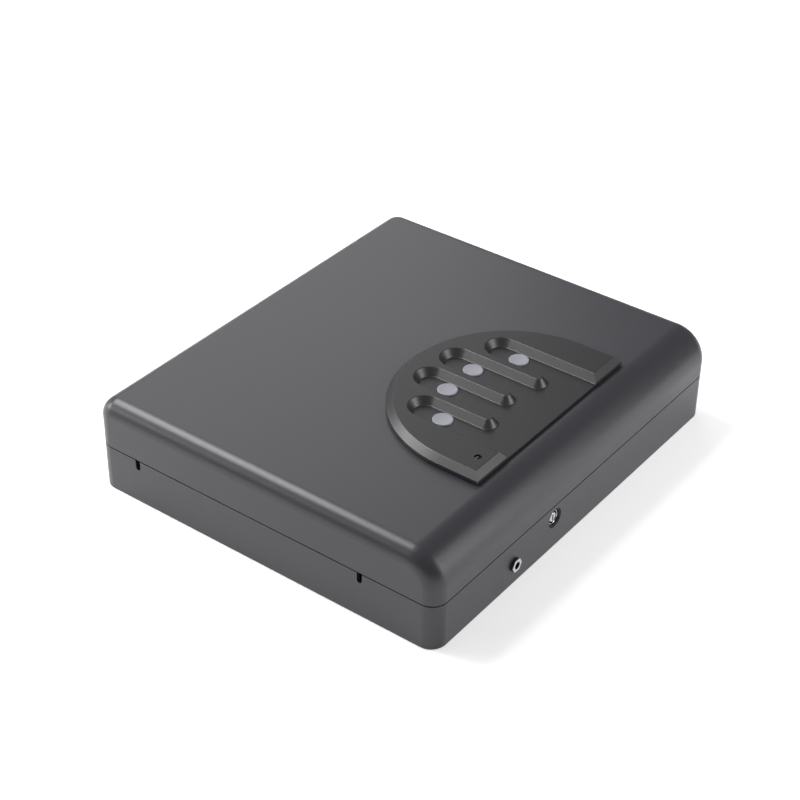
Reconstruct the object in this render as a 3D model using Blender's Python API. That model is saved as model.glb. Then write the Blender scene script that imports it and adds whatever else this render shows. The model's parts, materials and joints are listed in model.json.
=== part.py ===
"""Portable electronic safe: sheet steel tray and lid, hand-shaped keypad, key lock, latch and hinges.

Metres, +Z up.  The origin is under the middle of the tray.  -Y is the front with the key lock,
+Y is the hinge side.  The latch is drawn back and the lid rests closed.
"""
import math

import bmesh
import bpy
from mathutils import Vector

# Steel box
BODY_WIDTH = 0.300
BODY_DEPTH = 0.257
BODY_HEIGHT = 0.064
SHEET = 0.0015
CORNER_RADIUS = 0.0105
LID_FRONT_RADIUS = 0.022
LID_REAR_RADIUS = 0.012
TRAY_TOP = 0.0315
LID_BOTTOM = 0.0321
TRAY_BOTTOM_EDGE = 0.0008
CORNER_STEPS = 6
HALF_WIDTH = BODY_WIDTH / 2
HALF_DEPTH = BODY_DEPTH / 2
FRONT = -HALF_DEPTH
REAR = HALF_DEPTH
FLOOR = SHEET

# General clearances
GAP = 0.0003
CUT_OVER = 0.002

# Inner rim that the lid closes over
RIM_SHEET = 0.001
RIM_INSET = SHEET + 0.0004
RIM_LOW = 0.021
RIM_HIGH = 0.036
RIM_REAR_Y = 0.112

# Tether cable slots in the left wall
SLOT_WIDTH = 0.0035
SLOT_LOW = 0.0247
SLOT_Y = (-0.075, 0.0955)

# Bolt-down holes in the floor
FLOOR_HOLE_RADIUS = 0.00325
FLOOR_HOLE_X = 0.110
FLOOR_HOLE_Y = (-0.070, 0.095)

# Keypad moulding: a D shape with four finger grooves
PAD_RADIUS = 0.0785
PAD_CENTRE_Y = -0.0775
PAD_FRONT_Y = -0.1042
PAD_CHAMFER = 0.0041
PAD_UNDER = 0.0647
PAD_FLOOR = 0.066
PAD_RIM = 0.067
PAD_TOP = 0.0708
PAD_BOSS_LOW = 0.062
PAD_BOSS_INSET = 0.006
PAD_STEPS = 48
LID_WINDOW_GAP = 0.0006
GASKET_LOW = BODY_HEIGHT + 0.0002
GASKET_HIGH = PAD_UNDER - 0.0002
GASKET_INSET = 0.0008
GASKET_WIDTH = 0.004
HAND_OVER_FRONT = 0.006
HAND_OVER_TOP = 0.0005
GROOVE_PITCH = 0.027
GROOVE_X = tuple(GROOVE_PITCH * step for step in (-1.5, -0.5, 0.5, 1.5))
GROOVE_FAR_Y = (-0.0395, -0.024, -0.024, -0.0395)
RIDGE_NOSE_Y = (-0.0757, -0.070, -0.0757)
GROOVE_FLOOR_HALF = 0.0072
GROOVE_WALL_RUN = 0.0037
GROOVE_STEPS = 12
NOSE_STEPS = 6

# Push buttons, one in each groove
BUTTON_RADIUS = 0.0065
BUTTON_TOP = 0.0669
BUTTON_EDGE = 0.0006
BUTTON_EDGE_STEPS = 3
BUTTON_DISH = 0.0004
BUTTON_FLANGE_RADIUS = 0.0077
BUTTON_FLANGE = 0.0012
BUTTON_TRAVEL = 0.0012
BUTTON_Y = (-0.0525, -0.0365, -0.0365, -0.0525)
BUTTON_GAP = 0.0003
FLANGE_TOP = PAD_BOSS_LOW - 0.0004

# Status light
LED_X = -0.0628
LED_Y = -0.0935
LED_RADIUS = 0.00225
LED_GAP = 0.00025
LED_DOME = 0.0004

# Circuit board, cover, battery bay
BOARD_THICKNESS = 0.0015
BOARD_TOP = FLANGE_TOP - BUTTON_FLANGE - BUTTON_TRAVEL - GAP
BOARD_INSET = PAD_BOSS_INSET + 0.001
COVER_X = 0.082
COVER_FRONT_Y = -0.106
COVER_REAR_Y = 0.072
COVER_LOW = 0.0435
COVER_HIGH = BODY_HEIGHT - SHEET - GAP
COVER_SHEET = 0.002
COVER_RADIUS = 0.006
COVER_CORNER_STEPS = 4
COVER_SCREW_INSET = (0.007, 0.008)
HATCH_X = 0.031
HATCH_Y = (0.010, 0.064)
DOOR_OVERLAP = 0.0025
DOOR_THICKNESS = 0.0015
RAIL_WIDTH = 0.002
RAIL_LIP = 0.0012
RAIL_LIP_SHEET = 0.001
RAIL_ROOT = 0.0005
DOOR_RIBS = 5
RIB_PITCH = 0.0022
RIB_HALF = 0.0006
RIB_HALF_LENGTH = 0.009
RIB_START_Y = HATCH_Y[1] - 0.010
CELL_RADIUS = 0.00725
CELL_EDGE = 0.0006
CELL_NUB_RADIUS = 0.0027
CELL_NUB_HEIGHT = 0.0012
CELL_LENGTH = 0.0505
CELL_PITCH = 0.0152
CELL_AXIS_Z = 0.0535
CELL_MIDDLE_Y = 0.038
CONTACT_HALF_X = 0.030
CONTACT_Z = (0.0465, 0.0605)
CONTACT_SHEET = 0.0006
CONTACT_GAP = 0.0005

# Hinges at the back
HINGE_Y = 0.1316
HINGE_Z = 0.0318
HINGE_X = 0.075
KNUCKLE_OUTER = 0.0028
KNUCKLE_INNER = 0.0018
PIN_RADIUS = 0.0015
LEAF_SHEET = 0.001
LEAF_HALF = 0.020
LID_KNUCKLE_HALF = 0.0066
BASE_KNUCKLE_START = 0.0072
LEAF_PLATE_Y = 0.1255
LEAF_REACH = 0.0165
NOTCH_GAP = 0.0004
CURL_DEGREES = (90.0, -165.0)
CURL_STEPS = 20
LEAF_LAP = 0.0002
KNUCKLE_END_GAP = 0.0004
PIN_OVER = 0.001

# Screws
SCREW_HEAD_RADIUS = 0.0029
SCREW_HEAD_HEIGHT = 0.0016
SCREW_RADIUS = 0.0015
SCREW_HOLE_RADIUS = 0.0019
SCREW_SLOT_HALF = (0.0018, 0.0003)
SCREW_SLOT_DEPTH = 0.0007
SMALL_SCREW = 0.8
SMALL_SCREW_HOLE_RADIUS = 0.0015

# Key lock
LOCK_X = -0.030
LOCK_Z = 0.0223
LOCK_HOLE_RADIUS = 0.0065
BEZEL_OUTER = 0.0062
BEZEL_INNER = 0.0054
BEZEL_FLANGE_RADIUS = 0.0075
BEZEL_FLANGE = 0.0012
RIM_ARCH_GAP = 0.0007
BARREL_RADIUS = 0.0050
BARREL_FACE_Y = -0.1272
BARREL_END_Y = -0.108
BARREL_EDGE = 0.0004
BARREL_FLANGE_RADIUS = 0.0065
BARREL_FLANGE_Y = (0.0022, 0.0038)
PLUG_RADIUS = 0.0032
PLUG_BORE = 0.0041
PLUG_FACE_Y = -0.1270
PLUG_EDGE = 0.0002
PLUG_TAIL_RADIUS = 0.0022
PLUG_TAIL = 0.0021
KEYWAY_HALF = (0.0006, 0.0022)
KEYWAY_DEPTH = 0.008
LOCK_NUT_RADIUS = 0.0074
LOCK_NUT_THICKNESS = 0.003
CAM_RADIUS = 0.0068
CAM_SHEET = 0.0015
CAM_PIN_OFFSET = 0.005
CAM_PIN_RADIUS = 0.0015
CAM_START_DEGREES = 45.0
CAM_SLOT_GAP = 0.00045
BRACKET_Y = -0.1195
BRACKET_SHEET = 0.0012
BRACKET_HALF = 0.010
BRACKET_FOOT = 0.0095

# Latch
BOLT_Y = (-0.1054, -0.1024)
BOLT_Z = 0.018
BOLT_TIP_X = -0.054
BOLT_NOSE_HALF = 0.003
BOLT_BODY_X = (-0.040, 0.006)
BOLT_BODY_Z = (BOLT_Z - 0.0065, BOLT_Z + 0.0055)
BOLT_CHAMFER = 0.001
BOLT_TAIL_X = 0.020
BOLT_TAIL_HALF = 0.0022
PLUNGER_RADIUS = 0.0035
PLUNGER_X = (0.012, 0.052)
PLUNGER_SLOT_X = 0.0215
PLUNGER_SLOT_HALF = 0.006
PLUNGER_BORE = PLUNGER_RADIUS + 0.0004
PLUNGER_PIN_X = 0.016
PLUNGER_PIN_RADIUS = 0.001
PLUNGER_PIN_HALF = 0.0045
COIL_X = (0.0294, 0.0524)
COIL_RADIUS = 0.008
COIL_FLANGE_RADIUS = COIL_RADIUS + 0.0006
COIL_FLANGE = 0.001
FRAME_SHEET = 0.0015
FRAME_X = (0.0274, 0.0544)
FRAME_HALF_Y = 0.0075
GUIDE_X = -0.0484
GUIDE_SHEET = 0.0012
GUIDE_FOOT = 0.006
GUIDE_TOP = 0.0245
GUIDE_HALF_Y = 0.0045
LOW_REST = FLOOR + GAP

# Striker that hangs from the lid
STRIKER_X = -0.0565
STRIKER_SHEET = 0.002
STRIKER_BACK_Y = COVER_FRONT_Y - GAP
STRIKER_WEB_Y = (-0.1118, -0.0975)
STRIKER_ARM_Y = -0.1150
STRIKER_FOOT_Z = 0.009
STRIKER_ARM_Z = (0.032, 0.038)
STRIKER_STEP_Z = 0.0425
STRIKER_TOP_Z = 0.060
STRIKER_TOP_CORNER = (0.0015, 0.004)
STRIKER_FLANGE_REACH = 0.014
STRIKER_FLANGE_SHEET = 0.0015
STRIKER_FLANGE_Z = (0.0455, 0.0595)
STRIKER_FLANGE_LAP = 0.0001
STRIKER_SCREW_X = STRIKER_X - 0.010
STRIKER_SCREW_Z = (0.049, 0.0555)
STRIKER_SCREW_OVER = 0.001
STRIKER_WINDOW_Y = (BOLT_Y[0] - 0.0022, BOLT_Y[1] + 0.0016)
STRIKER_WINDOW_HALF_Z = BOLT_NOSE_HALF + 0.002

# Housing over the lock and latch
HOUSING_X = (-0.085, 0.060)
HOUSING_Y = (-0.125, -0.092)
HOUSING_TOP = 0.0306
HOUSING_SHEET = 0.0012
HOUSING_FOOT = 0.010
HOUSING_FOOT_Y = (HOUSING_Y[1] - 0.014, HOUSING_Y[1] - 0.001)
HOUSING_SLOT_HALF_X = 0.003
HOUSING_SLOT_Y = (-0.1155, -0.0950)

# Foam mat
FOAM_FRONT_GAP = 0.0015
FOAM_REAR_GAP = 0.001
FOAM_SIDE_GAP = 0.004
FOAM_RADIUS = 0.009
FOAM_TOP = 0.008

# Power jack
JACK_X = -0.072
JACK_Z = 0.0145
JACK_RADIUS = 0.0039
JACK_COLLAR_RADIUS = 0.0044
JACK_FACE_Y = -0.1298
JACK_HEX_RADIUS = 0.0047
JACK_HEX_THICKNESS = 0.0005
JACK_HEX_GAP = 0.0002
JACK_BORE = 0.0025
JACK_BODY_RADIUS = 0.0055
JACK_BODY_LENGTH = 0.011
JACK_BODY_END = 0.002
JACK_PIN_RADIUS = 0.00095
JACK_PIN_SET_BACK = 0.002

ROUND_STEPS = 24
SMALL_STEPS = 16
FINE_STEPS = 12
HEX_SIDES = 6


def clear_scene():
    """Remove every object that the new file starts with."""
    for item in list(bpy.data.objects):
        bpy.data.objects.remove(item, do_unlink=True)


def finish(name, colour, roughness, metallic=0.0):
    """Return a plain Principled material."""
    made = bpy.data.materials.new(name)
    made.use_nodes = True
    shader = made.node_tree.nodes["Principled BSDF"]
    shader.inputs["Base Color"].default_value = (*colour, 1.0)
    shader.inputs["Roughness"].default_value = roughness
    shader.inputs["Metallic"].default_value = metallic
    made.diffuse_color = (*colour, 1.0)
    return made


def make_finishes():
    """Return the part's finishes by name."""
    return {
        "powder": finish("powder_coat", (0.105, 0.102, 0.115), 0.5),
        "dark_powder": finish("dark_powder_coat", (0.05, 0.05, 0.055), 0.55),
        "pad": finish("keypad_plastic", (0.075, 0.072, 0.08), 0.45),
        "button": finish("button_plastic", (0.50, 0.50, 0.55), 0.4),
        "zinc": finish("zinc_plated_steel", (0.62, 0.62, 0.63), 0.32, 1.0),
        "chrome": finish("polished_chrome", (0.78, 0.78, 0.80), 0.12, 1.0),
        "black": finish("black_plastic", (0.02, 0.02, 0.022), 0.5),
        "rubber": finish("black_rubber", (0.015, 0.015, 0.015), 0.85),
        "lens": finish("smoked_lens", (0.03, 0.005, 0.005), 0.15),
        "board": finish("board_green", (0.02, 0.13, 0.05), 0.5),
        "foam": finish("grey_foam", (0.09, 0.09, 0.095), 0.95),
        "copper": finish("coil_copper", (0.60, 0.28, 0.13), 0.4, 1.0),
        "cell": finish("battery_sleeve", (0.30, 0.31, 0.33), 0.35),
    }


def new_pivot(name, place):
    """Return an empty that marks a joint's axis."""
    pivot = bpy.data.objects.new(name, None)
    pivot.location = place
    pivot.empty_display_size = 0.01
    bpy.context.collection.objects.link(pivot)
    return pivot


def put(name, shape, material, pivot=None, origin=None):
    """Turn a bmesh in world metres into an object whose origin is its pivot, or a point of its own."""
    bmesh.ops.remove_doubles(shape, verts=shape.verts, dist=1e-7)
    bmesh.ops.recalc_face_normals(shape, faces=shape.faces)
    base = pivot.location if pivot else Vector((0.0, 0.0, 0.0))
    centre = Vector(origin) if origin else base
    bmesh.ops.translate(shape, verts=shape.verts, vec=-centre)
    mesh = bpy.data.meshes.new(name)
    shape.to_mesh(mesh)
    shape.free()
    mesh.shade_smooth()
    mesh.set_sharp_from_angle(angle=math.radians(32))
    item = bpy.data.objects.new(name, mesh)
    item.location = centre - base
    item.parent = pivot
    bpy.context.collection.objects.link(item)
    if material:
        mesh.materials.append(material)
    return item


def combine(target, name, shape, operation):
    """Add a Boolean to target from a hidden guide shape, given in world metres."""
    guide = put(name, shape, None, target.parent)
    guide.hide_render = True
    guide.display_type = "WIRE"
    change = target.modifiers.new(name, "BOOLEAN")
    change.operation = operation
    change.object = guide
    change.solver = "EXACT"
    return target


def cut(target, name, shape):
    """Take a shape out of target."""
    return combine(target, name, shape, "DIFFERENCE")


def join(target, name, shape):
    """Fuse a shape with target."""
    return combine(target, name, shape, "UNION")


def arc(centre, radius, start, end, steps):
    """Return points along a flat arc, in degrees, both ends included."""
    points = []
    for step in range(steps + 1):
        angle = math.radians(start + (end - start) * step / steps)
        points.append((centre[0] + radius * math.cos(angle), centre[1] + radius * math.sin(angle)))
    return points


def stand(point, axis, height):
    """Place a flat point at a height along an axis.  The flat pair is (Y, Z), (X, Z) or (X, Y)."""
    if axis == "X":
        return Vector((height, point[0], point[1]))
    if axis == "Y":
        return Vector((point[0], height, point[1]))
    return Vector((point[0], point[1], height))


def prism(shape, outline, axis, low, high):
    """Extrude a flat outline along a world axis."""
    face = shape.faces.new([shape.verts.new(stand(point, axis, low)) for point in outline])
    grown = bmesh.ops.extrude_face_region(shape, geom=[face], use_keep_orig=True)
    moved = [item for item in grown["geom"] if isinstance(item, bmesh.types.BMVert)]
    bmesh.ops.translate(shape, verts=moved, vec=stand((0.0, 0.0), axis, high - low))
    return shape


def block(shape, low, high):
    """Add an upright box between two corners."""
    outline = [(low[0], low[1]), (high[0], low[1]), (high[0], high[1]), (low[0], high[1])]
    return prism(shape, outline, "Z", low[2], high[2])


def rod(shape, centre, axis, low, high, radius, steps=ROUND_STEPS):
    """Add a round rod along a world axis."""
    outline = arc(centre, radius, 0.0, 360.0, steps)[:-1]
    return prism(shape, outline, axis, low, high)


def loft(shape, loops, close_ends=True):
    """Join closed rings of equal count one after another, and cap the first and the last."""
    rings = [[shape.verts.new(point) for point in loop] for loop in loops]
    for first, second in zip(rings, rings[1:]):
        count = len(first)
        for index in range(count):
            after = (index + 1) % count
            shape.faces.new((first[index], first[after], second[after], second[index]))
    if close_ends:
        shape.faces.new(rings[0])
        shape.faces.new(rings[-1])
    return rings


def turned(shape, profile, centre, axis, steps=ROUND_STEPS):
    """Revolve a closed profile of (radius, height) about a world axis through a flat centre."""
    verts = []
    for radius, height in profile:
        verts.append(shape.verts.new(stand((centre[0] + radius, centre[1]), axis, height)))
    edges = []
    for index, vert in enumerate(verts):
        following = verts[(index + 1) % len(verts)]
        on_axis = profile[index][0] < 1e-6 and profile[(index + 1) % len(verts)][0] < 1e-6
        if not on_axis:
            edges.append(shape.edges.new((vert, following)))
    bmesh.ops.spin(
        shape,
        geom=verts + edges,
        cent=stand(centre, axis, 0.0),
        axis=stand((0.0, 0.0), axis, 1.0),
        angle=math.tau,
        steps=steps,
        use_merge=True,
    )
    bmesh.ops.remove_doubles(shape, verts=shape.verts, dist=1e-7)
    return shape


def rounded_rectangle(half_x, half_y, radius, steps=CORNER_STEPS):
    """Return the outline of a rectangle about the origin with round corners."""
    points = []
    corners = ((1, 1, 0.0), (-1, 1, 90.0), (-1, -1, 180.0), (1, -1, 270.0))
    for side_x, side_y, start in corners:
        centre = (side_x * (half_x - radius), side_y * (half_y - radius))
        points += arc(centre, radius, start, start + 90.0, steps)
    return points


def body_outline(inset):
    """Return the box's plan outline, set in by a distance."""
    return rounded_rectangle(HALF_WIDTH - inset, HALF_DEPTH - inset, CORNER_RADIUS - inset)


def hinge_notch(shape, low, high):
    """Add the two cutters that let the hinge leaves through a rear wall."""
    for side in (-1, 1):
        middle = side * HINGE_X
        half = LEAF_HALF + NOTCH_GAP
        block(shape, (middle - half, REAR - 0.004, low), (middle + half, REAR + 0.003, high))
    return shape


def make_tray(finishes):
    """Pressed tray: round upright corners, cable slots, lock and jack holes, bolt-down holes."""
    levels = (
        (TRAY_BOTTOM_EDGE, 0.0),
        (0.0, TRAY_BOTTOM_EDGE),
        (0.0, TRAY_TOP),
        (SHEET, TRAY_TOP),
        (SHEET, FLOOR),
    )
    shape = bmesh.new()
    loft(shape, [[stand(point, "Z", height) for point in body_outline(inset)] for inset, height in levels])
    tray = put("base_tray", shape, finishes["powder"])
    cuts = bmesh.new()
    cable_slots(cuts, -HALF_WIDTH - CUT_OVER, -HALF_WIDTH + SHEET + CUT_OVER)
    rod(cuts, (LOCK_X, LOCK_Z), "Y", FRONT - CUT_OVER, FRONT + SHEET + CUT_OVER, LOCK_HOLE_RADIUS)
    jack_hole = JACK_RADIUS + GAP
    rod(cuts, (JACK_X, JACK_Z), "Y", FRONT - CUT_OVER, FRONT + SHEET + CUT_OVER, jack_hole, SMALL_STEPS)
    for side in (-1, 1):
        for hole_y in FLOOR_HOLE_Y:
            centre = (side * FLOOR_HOLE_X, hole_y)
            rod(cuts, centre, "Z", -CUT_OVER, FLOOR + CUT_OVER, FLOOR_HOLE_RADIUS, SMALL_STEPS)
    hinge_notch(cuts, HINGE_Z - KNUCKLE_OUTER - NOTCH_GAP, TRAY_TOP + CUT_OVER)
    cut(tray, "tray_cuts", cuts)
    return tray


def cable_slots(shape, low_x, high_x):
    """Add round-bottomed slot cutters, open at the top, across the left wall."""
    half = SLOT_WIDTH / 2
    for middle in SLOT_Y:
        outline = [(middle + half, RIM_HIGH + CUT_OVER), (middle - half, RIM_HIGH + CUT_OVER)]
        outline += arc((middle, SLOT_LOW + half), half, 180.0, 360.0, 8)
        prism(shape, outline, "X", low_x, high_x)
    return shape


def make_rim(finishes):
    """U-shaped strip inside the tray's front and sides, which the lid closes over."""
    path = []
    for inset, reverse in ((RIM_INSET, False), (RIM_INSET + RIM_SHEET, True)):
        half_x = HALF_WIDTH - inset
        half_y = HALF_DEPTH - inset
        radius = CORNER_RADIUS - inset
        side = [(-half_x, RIM_REAR_Y)]
        side += arc((-half_x + radius, -half_y + radius), radius, 180.0, 270.0, CORNER_STEPS)
        side += arc((half_x - radius, -half_y + radius), radius, 270.0, 360.0, CORNER_STEPS)
        side += [(half_x, RIM_REAR_Y)]
        path += reversed(side) if reverse else side
    rim = put("inner_rim", prism(bmesh.new(), path, "Z", RIM_LOW, RIM_HIGH), finishes["dark_powder"])
    cuts = bmesh.new()
    cable_slots(cuts, -HALF_WIDTH + SHEET, -HALF_WIDTH + RIM_INSET + RIM_SHEET + CUT_OVER)
    arch = BEZEL_FLANGE_RADIUS + RIM_ARCH_GAP
    rod(cuts, (LOCK_X, LOCK_Z), "Y", FRONT + SHEET, FRONT + RIM_INSET + RIM_SHEET + CUT_OVER, arch)
    cut(rim, "rim_cuts", cuts)
    return rim


def make_base_foam(finishes):
    """Foam mat that lines the tray's floor behind the latch housing."""
    low_y = HOUSING_Y[1] + FOAM_FRONT_GAP
    high_y = LEAF_PLATE_Y - FOAM_REAR_GAP
    half_x = HALF_WIDTH - FOAM_SIDE_GAP
    outline = [
        (point[0], point[1] + (low_y + high_y) / 2)
        for point in rounded_rectangle(half_x, (high_y - low_y) / 2, FOAM_RADIUS)
    ]
    shape = prism(bmesh.new(), outline, "Z", LOW_REST, FOAM_TOP)
    return put("base_foam", shape, finishes["foam"])


def lid_profile(inset):
    """Y-Z outline of the lid from its front lower edge over the top to the rear, set in by a distance."""
    front = FRONT + inset
    rear = REAR - inset
    top = BODY_HEIGHT - inset
    front_radius = LID_FRONT_RADIUS - inset
    rear_radius = LID_REAR_RADIUS - inset
    points = [(front, LID_BOTTOM)]
    points += arc((front + front_radius, top - front_radius), front_radius, 180.0, 90.0, 8)
    points += arc((rear - rear_radius, top - rear_radius), rear_radius, 90.0, 0.0, CORNER_STEPS)
    points.append((rear, LID_BOTTOM))
    return points


def lid_stations(inset):
    """Return (x, inset) stations that carry the profile round the two side fillets."""
    radius = CORNER_RADIUS - inset
    half = []
    for step in range(CORNER_STEPS + 1):
        angle = math.radians(90.0 * step / CORNER_STEPS)
        across = HALF_WIDTH - inset - radius + radius * math.sin(angle)
        half.append((across, inset + radius * (1.0 - math.cos(angle))))
    return [(-across, depth) for across, depth in reversed(half)] + half


def lid_skin(shape, inset):
    """Add one face of the lid's sheet and return the ring of verts along its lower edge."""
    rows = []
    for across, depth in lid_stations(inset):
        rows.append([shape.verts.new(stand(point, "X", across)) for point in lid_profile(depth)])
    for first, second in zip(rows, rows[1:]):
        for index in range(len(first) - 1):
            shape.faces.new((first[index], first[index + 1], second[index + 1], second[index]))
    shape.faces.new(rows[0])
    shape.faces.new(rows[-1])
    return [row[0] for row in rows] + [row[-1] for row in reversed(rows)]


def make_lid(finishes, pivot):
    """Pressed lid: large front roll, filleted sides, window for the keypad, hinge notches."""
    shape = bmesh.new()
    outer = lid_skin(shape, 0.0)
    inner = lid_skin(shape, SHEET)
    count = len(outer)
    for index in range(count):
        after = (index + 1) % count
        shape.faces.new((outer[index], outer[after], inner[after], inner[index]))
    lid = put("lid_shell", shape, finishes["powder"], pivot)
    cuts = bmesh.new()
    window = pad_outline(PAD_BOSS_INSET - LID_WINDOW_GAP)
    prism(cuts, window, "Z", BODY_HEIGHT - SHEET - CUT_OVER, BODY_HEIGHT + CUT_OVER)
    hinge_notch(cuts, LID_BOTTOM - CUT_OVER, HINGE_Z + KNUCKLE_OUTER + NOTCH_GAP)
    cut(lid, "lid_cuts", cuts)
    return lid


def pad_outline(inset):
    """D-shaped outline of the keypad moulding, set in by a distance."""
    radius = PAD_RADIUS - inset
    front = PAD_FRONT_Y + inset
    points = [(radius, front)]
    points += arc((0.0, PAD_CENTRE_Y), radius, 0.0, 180.0, PAD_STEPS)
    points.append((-radius, front))
    return points


def hand_outline(half):
    """Plan outline of the four finger grooves and the palm at one depth.

    half is the groove's half width there.  Round far ends close the grooves, and a round nose
    closes the ridge between two grooves.
    """
    start_y = PAD_FRONT_Y - HAND_OVER_FRONT
    points = [(GROOVE_X[0] - half, start_y)]
    nose_radius = GROOVE_PITCH / 2 - half
    for index, groove_x in enumerate(GROOVE_X):
        points += arc((groove_x, GROOVE_FAR_Y[index]), half, 180.0, 0.0, GROOVE_STEPS)
        if index < len(RIDGE_NOSE_Y):
            ridge_x = groove_x + GROOVE_PITCH / 2
            points += arc((ridge_x, RIDGE_NOSE_Y[index]), nose_radius, 180.0, 360.0, NOSE_STEPS)
    points.append((GROOVE_X[-1] + half, start_y))
    return points


def make_keypad_panel(finishes, pivot):
    """Keypad moulding: chamfered D plate on a boss, with a hand-shaped pocket and round holes."""
    levels = (
        (PAD_BOSS_INSET, PAD_BOSS_LOW),
        (PAD_BOSS_INSET, PAD_UNDER),
        (0.0, PAD_UNDER),
        (0.0, PAD_RIM),
        (PAD_CHAMFER, PAD_TOP),
    )
    shape = bmesh.new()
    loft(shape, [[stand(point, "Z", height) for point in pad_outline(inset)] for inset, height in levels])
    panel = put("keypad_panel", shape, finishes["pad"], pivot)

    hand = bmesh.new()
    slope = GROOVE_WALL_RUN / (PAD_TOP - PAD_FLOOR)
    above = PAD_TOP + HAND_OVER_TOP
    hand_levels = (
        (GROOVE_FLOOR_HALF, PAD_FLOOR),
        (GROOVE_FLOOR_HALF + slope * (above - PAD_FLOOR), above),
    )
    loops = [[stand(point, "Z", height) for point in hand_outline(half)] for half, height in hand_levels]
    loft(hand, loops)
    cut(panel, "hand_pocket", hand)

    holes = bmesh.new()
    for groove_x, button_y in zip(GROOVE_X, BUTTON_Y):
        radius = BUTTON_RADIUS + BUTTON_GAP
        rod(holes, (groove_x, button_y), "Z", PAD_BOSS_LOW - CUT_OVER, PAD_FLOOR + CUT_OVER, radius)
    rod(holes, (LED_X, LED_Y), "Z", PAD_BOSS_LOW - CUT_OVER, PAD_TOP + CUT_OVER, LED_RADIUS, SMALL_STEPS)
    cut(panel, "keypad_holes", holes)
    return panel


def make_gasket(finishes, pivot):
    """Thin seal between the keypad moulding and the lid."""
    sheet = prism(bmesh.new(), pad_outline(GASKET_INSET), "Z", GASKET_LOW, GASKET_HIGH)
    gasket = put("keypad_gasket", sheet, finishes["rubber"], pivot)
    inside = pad_outline(GASKET_INSET + GASKET_WIDTH)
    hole = prism(bmesh.new(), inside, "Z", GASKET_LOW - CUT_OVER, GASKET_HIGH + CUT_OVER)
    cut(gasket, "gasket_hole", hole)
    return gasket


def make_buttons(finishes, pivot):
    """Four push buttons: a dished cap through the panel and a flange that holds it from below."""
    for index, (groove_x, button_y) in enumerate(zip(GROOVE_X, BUTTON_Y)):
        profile = [
            (0.0, FLANGE_TOP - BUTTON_FLANGE),
            (BUTTON_FLANGE_RADIUS, FLANGE_TOP - BUTTON_FLANGE),
            (BUTTON_FLANGE_RADIUS, FLANGE_TOP),
            (BUTTON_RADIUS, FLANGE_TOP),
        ]
        edge = (BUTTON_RADIUS - BUTTON_EDGE, BUTTON_TOP - BUTTON_EDGE)
        profile += arc(edge, BUTTON_EDGE, 0.0, 90.0, BUTTON_EDGE_STEPS)
        profile += [(BUTTON_RADIUS / 2, BUTTON_TOP - BUTTON_DISH / 2), (0.0, BUTTON_TOP - BUTTON_DISH)]
        shape = turned(bmesh.new(), profile, (groove_x, button_y), "Z")
        place = (groove_x, button_y, BUTTON_TOP)
        put(f"keypad_button_{index + 1}", shape, finishes["button"], pivot, place)


def make_light(finishes, pivot):
    """Status light's lens, just below the keypad's top."""
    radius = LED_RADIUS - LED_GAP
    top = PAD_TOP - LED_DOME
    profile = [
        (0.0, BOARD_TOP + GAP),
        (radius, BOARD_TOP + GAP),
        (radius, top - LED_DOME),
        (radius / 2, top - LED_DOME / 4),
        (0.0, top),
    ]
    shape = turned(bmesh.new(), profile, (LED_X, LED_Y), "Z", SMALL_STEPS)
    return put("status_lens", shape, finishes["lens"], pivot)


def make_board(finishes, pivot):
    """Keypad circuit board, under the buttons' flanges."""
    shape = prism(bmesh.new(), pad_outline(BOARD_INSET), "Z", BOARD_TOP - BOARD_THICKNESS, BOARD_TOP)
    return put("keypad_board", shape, finishes["board"], pivot)


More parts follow.
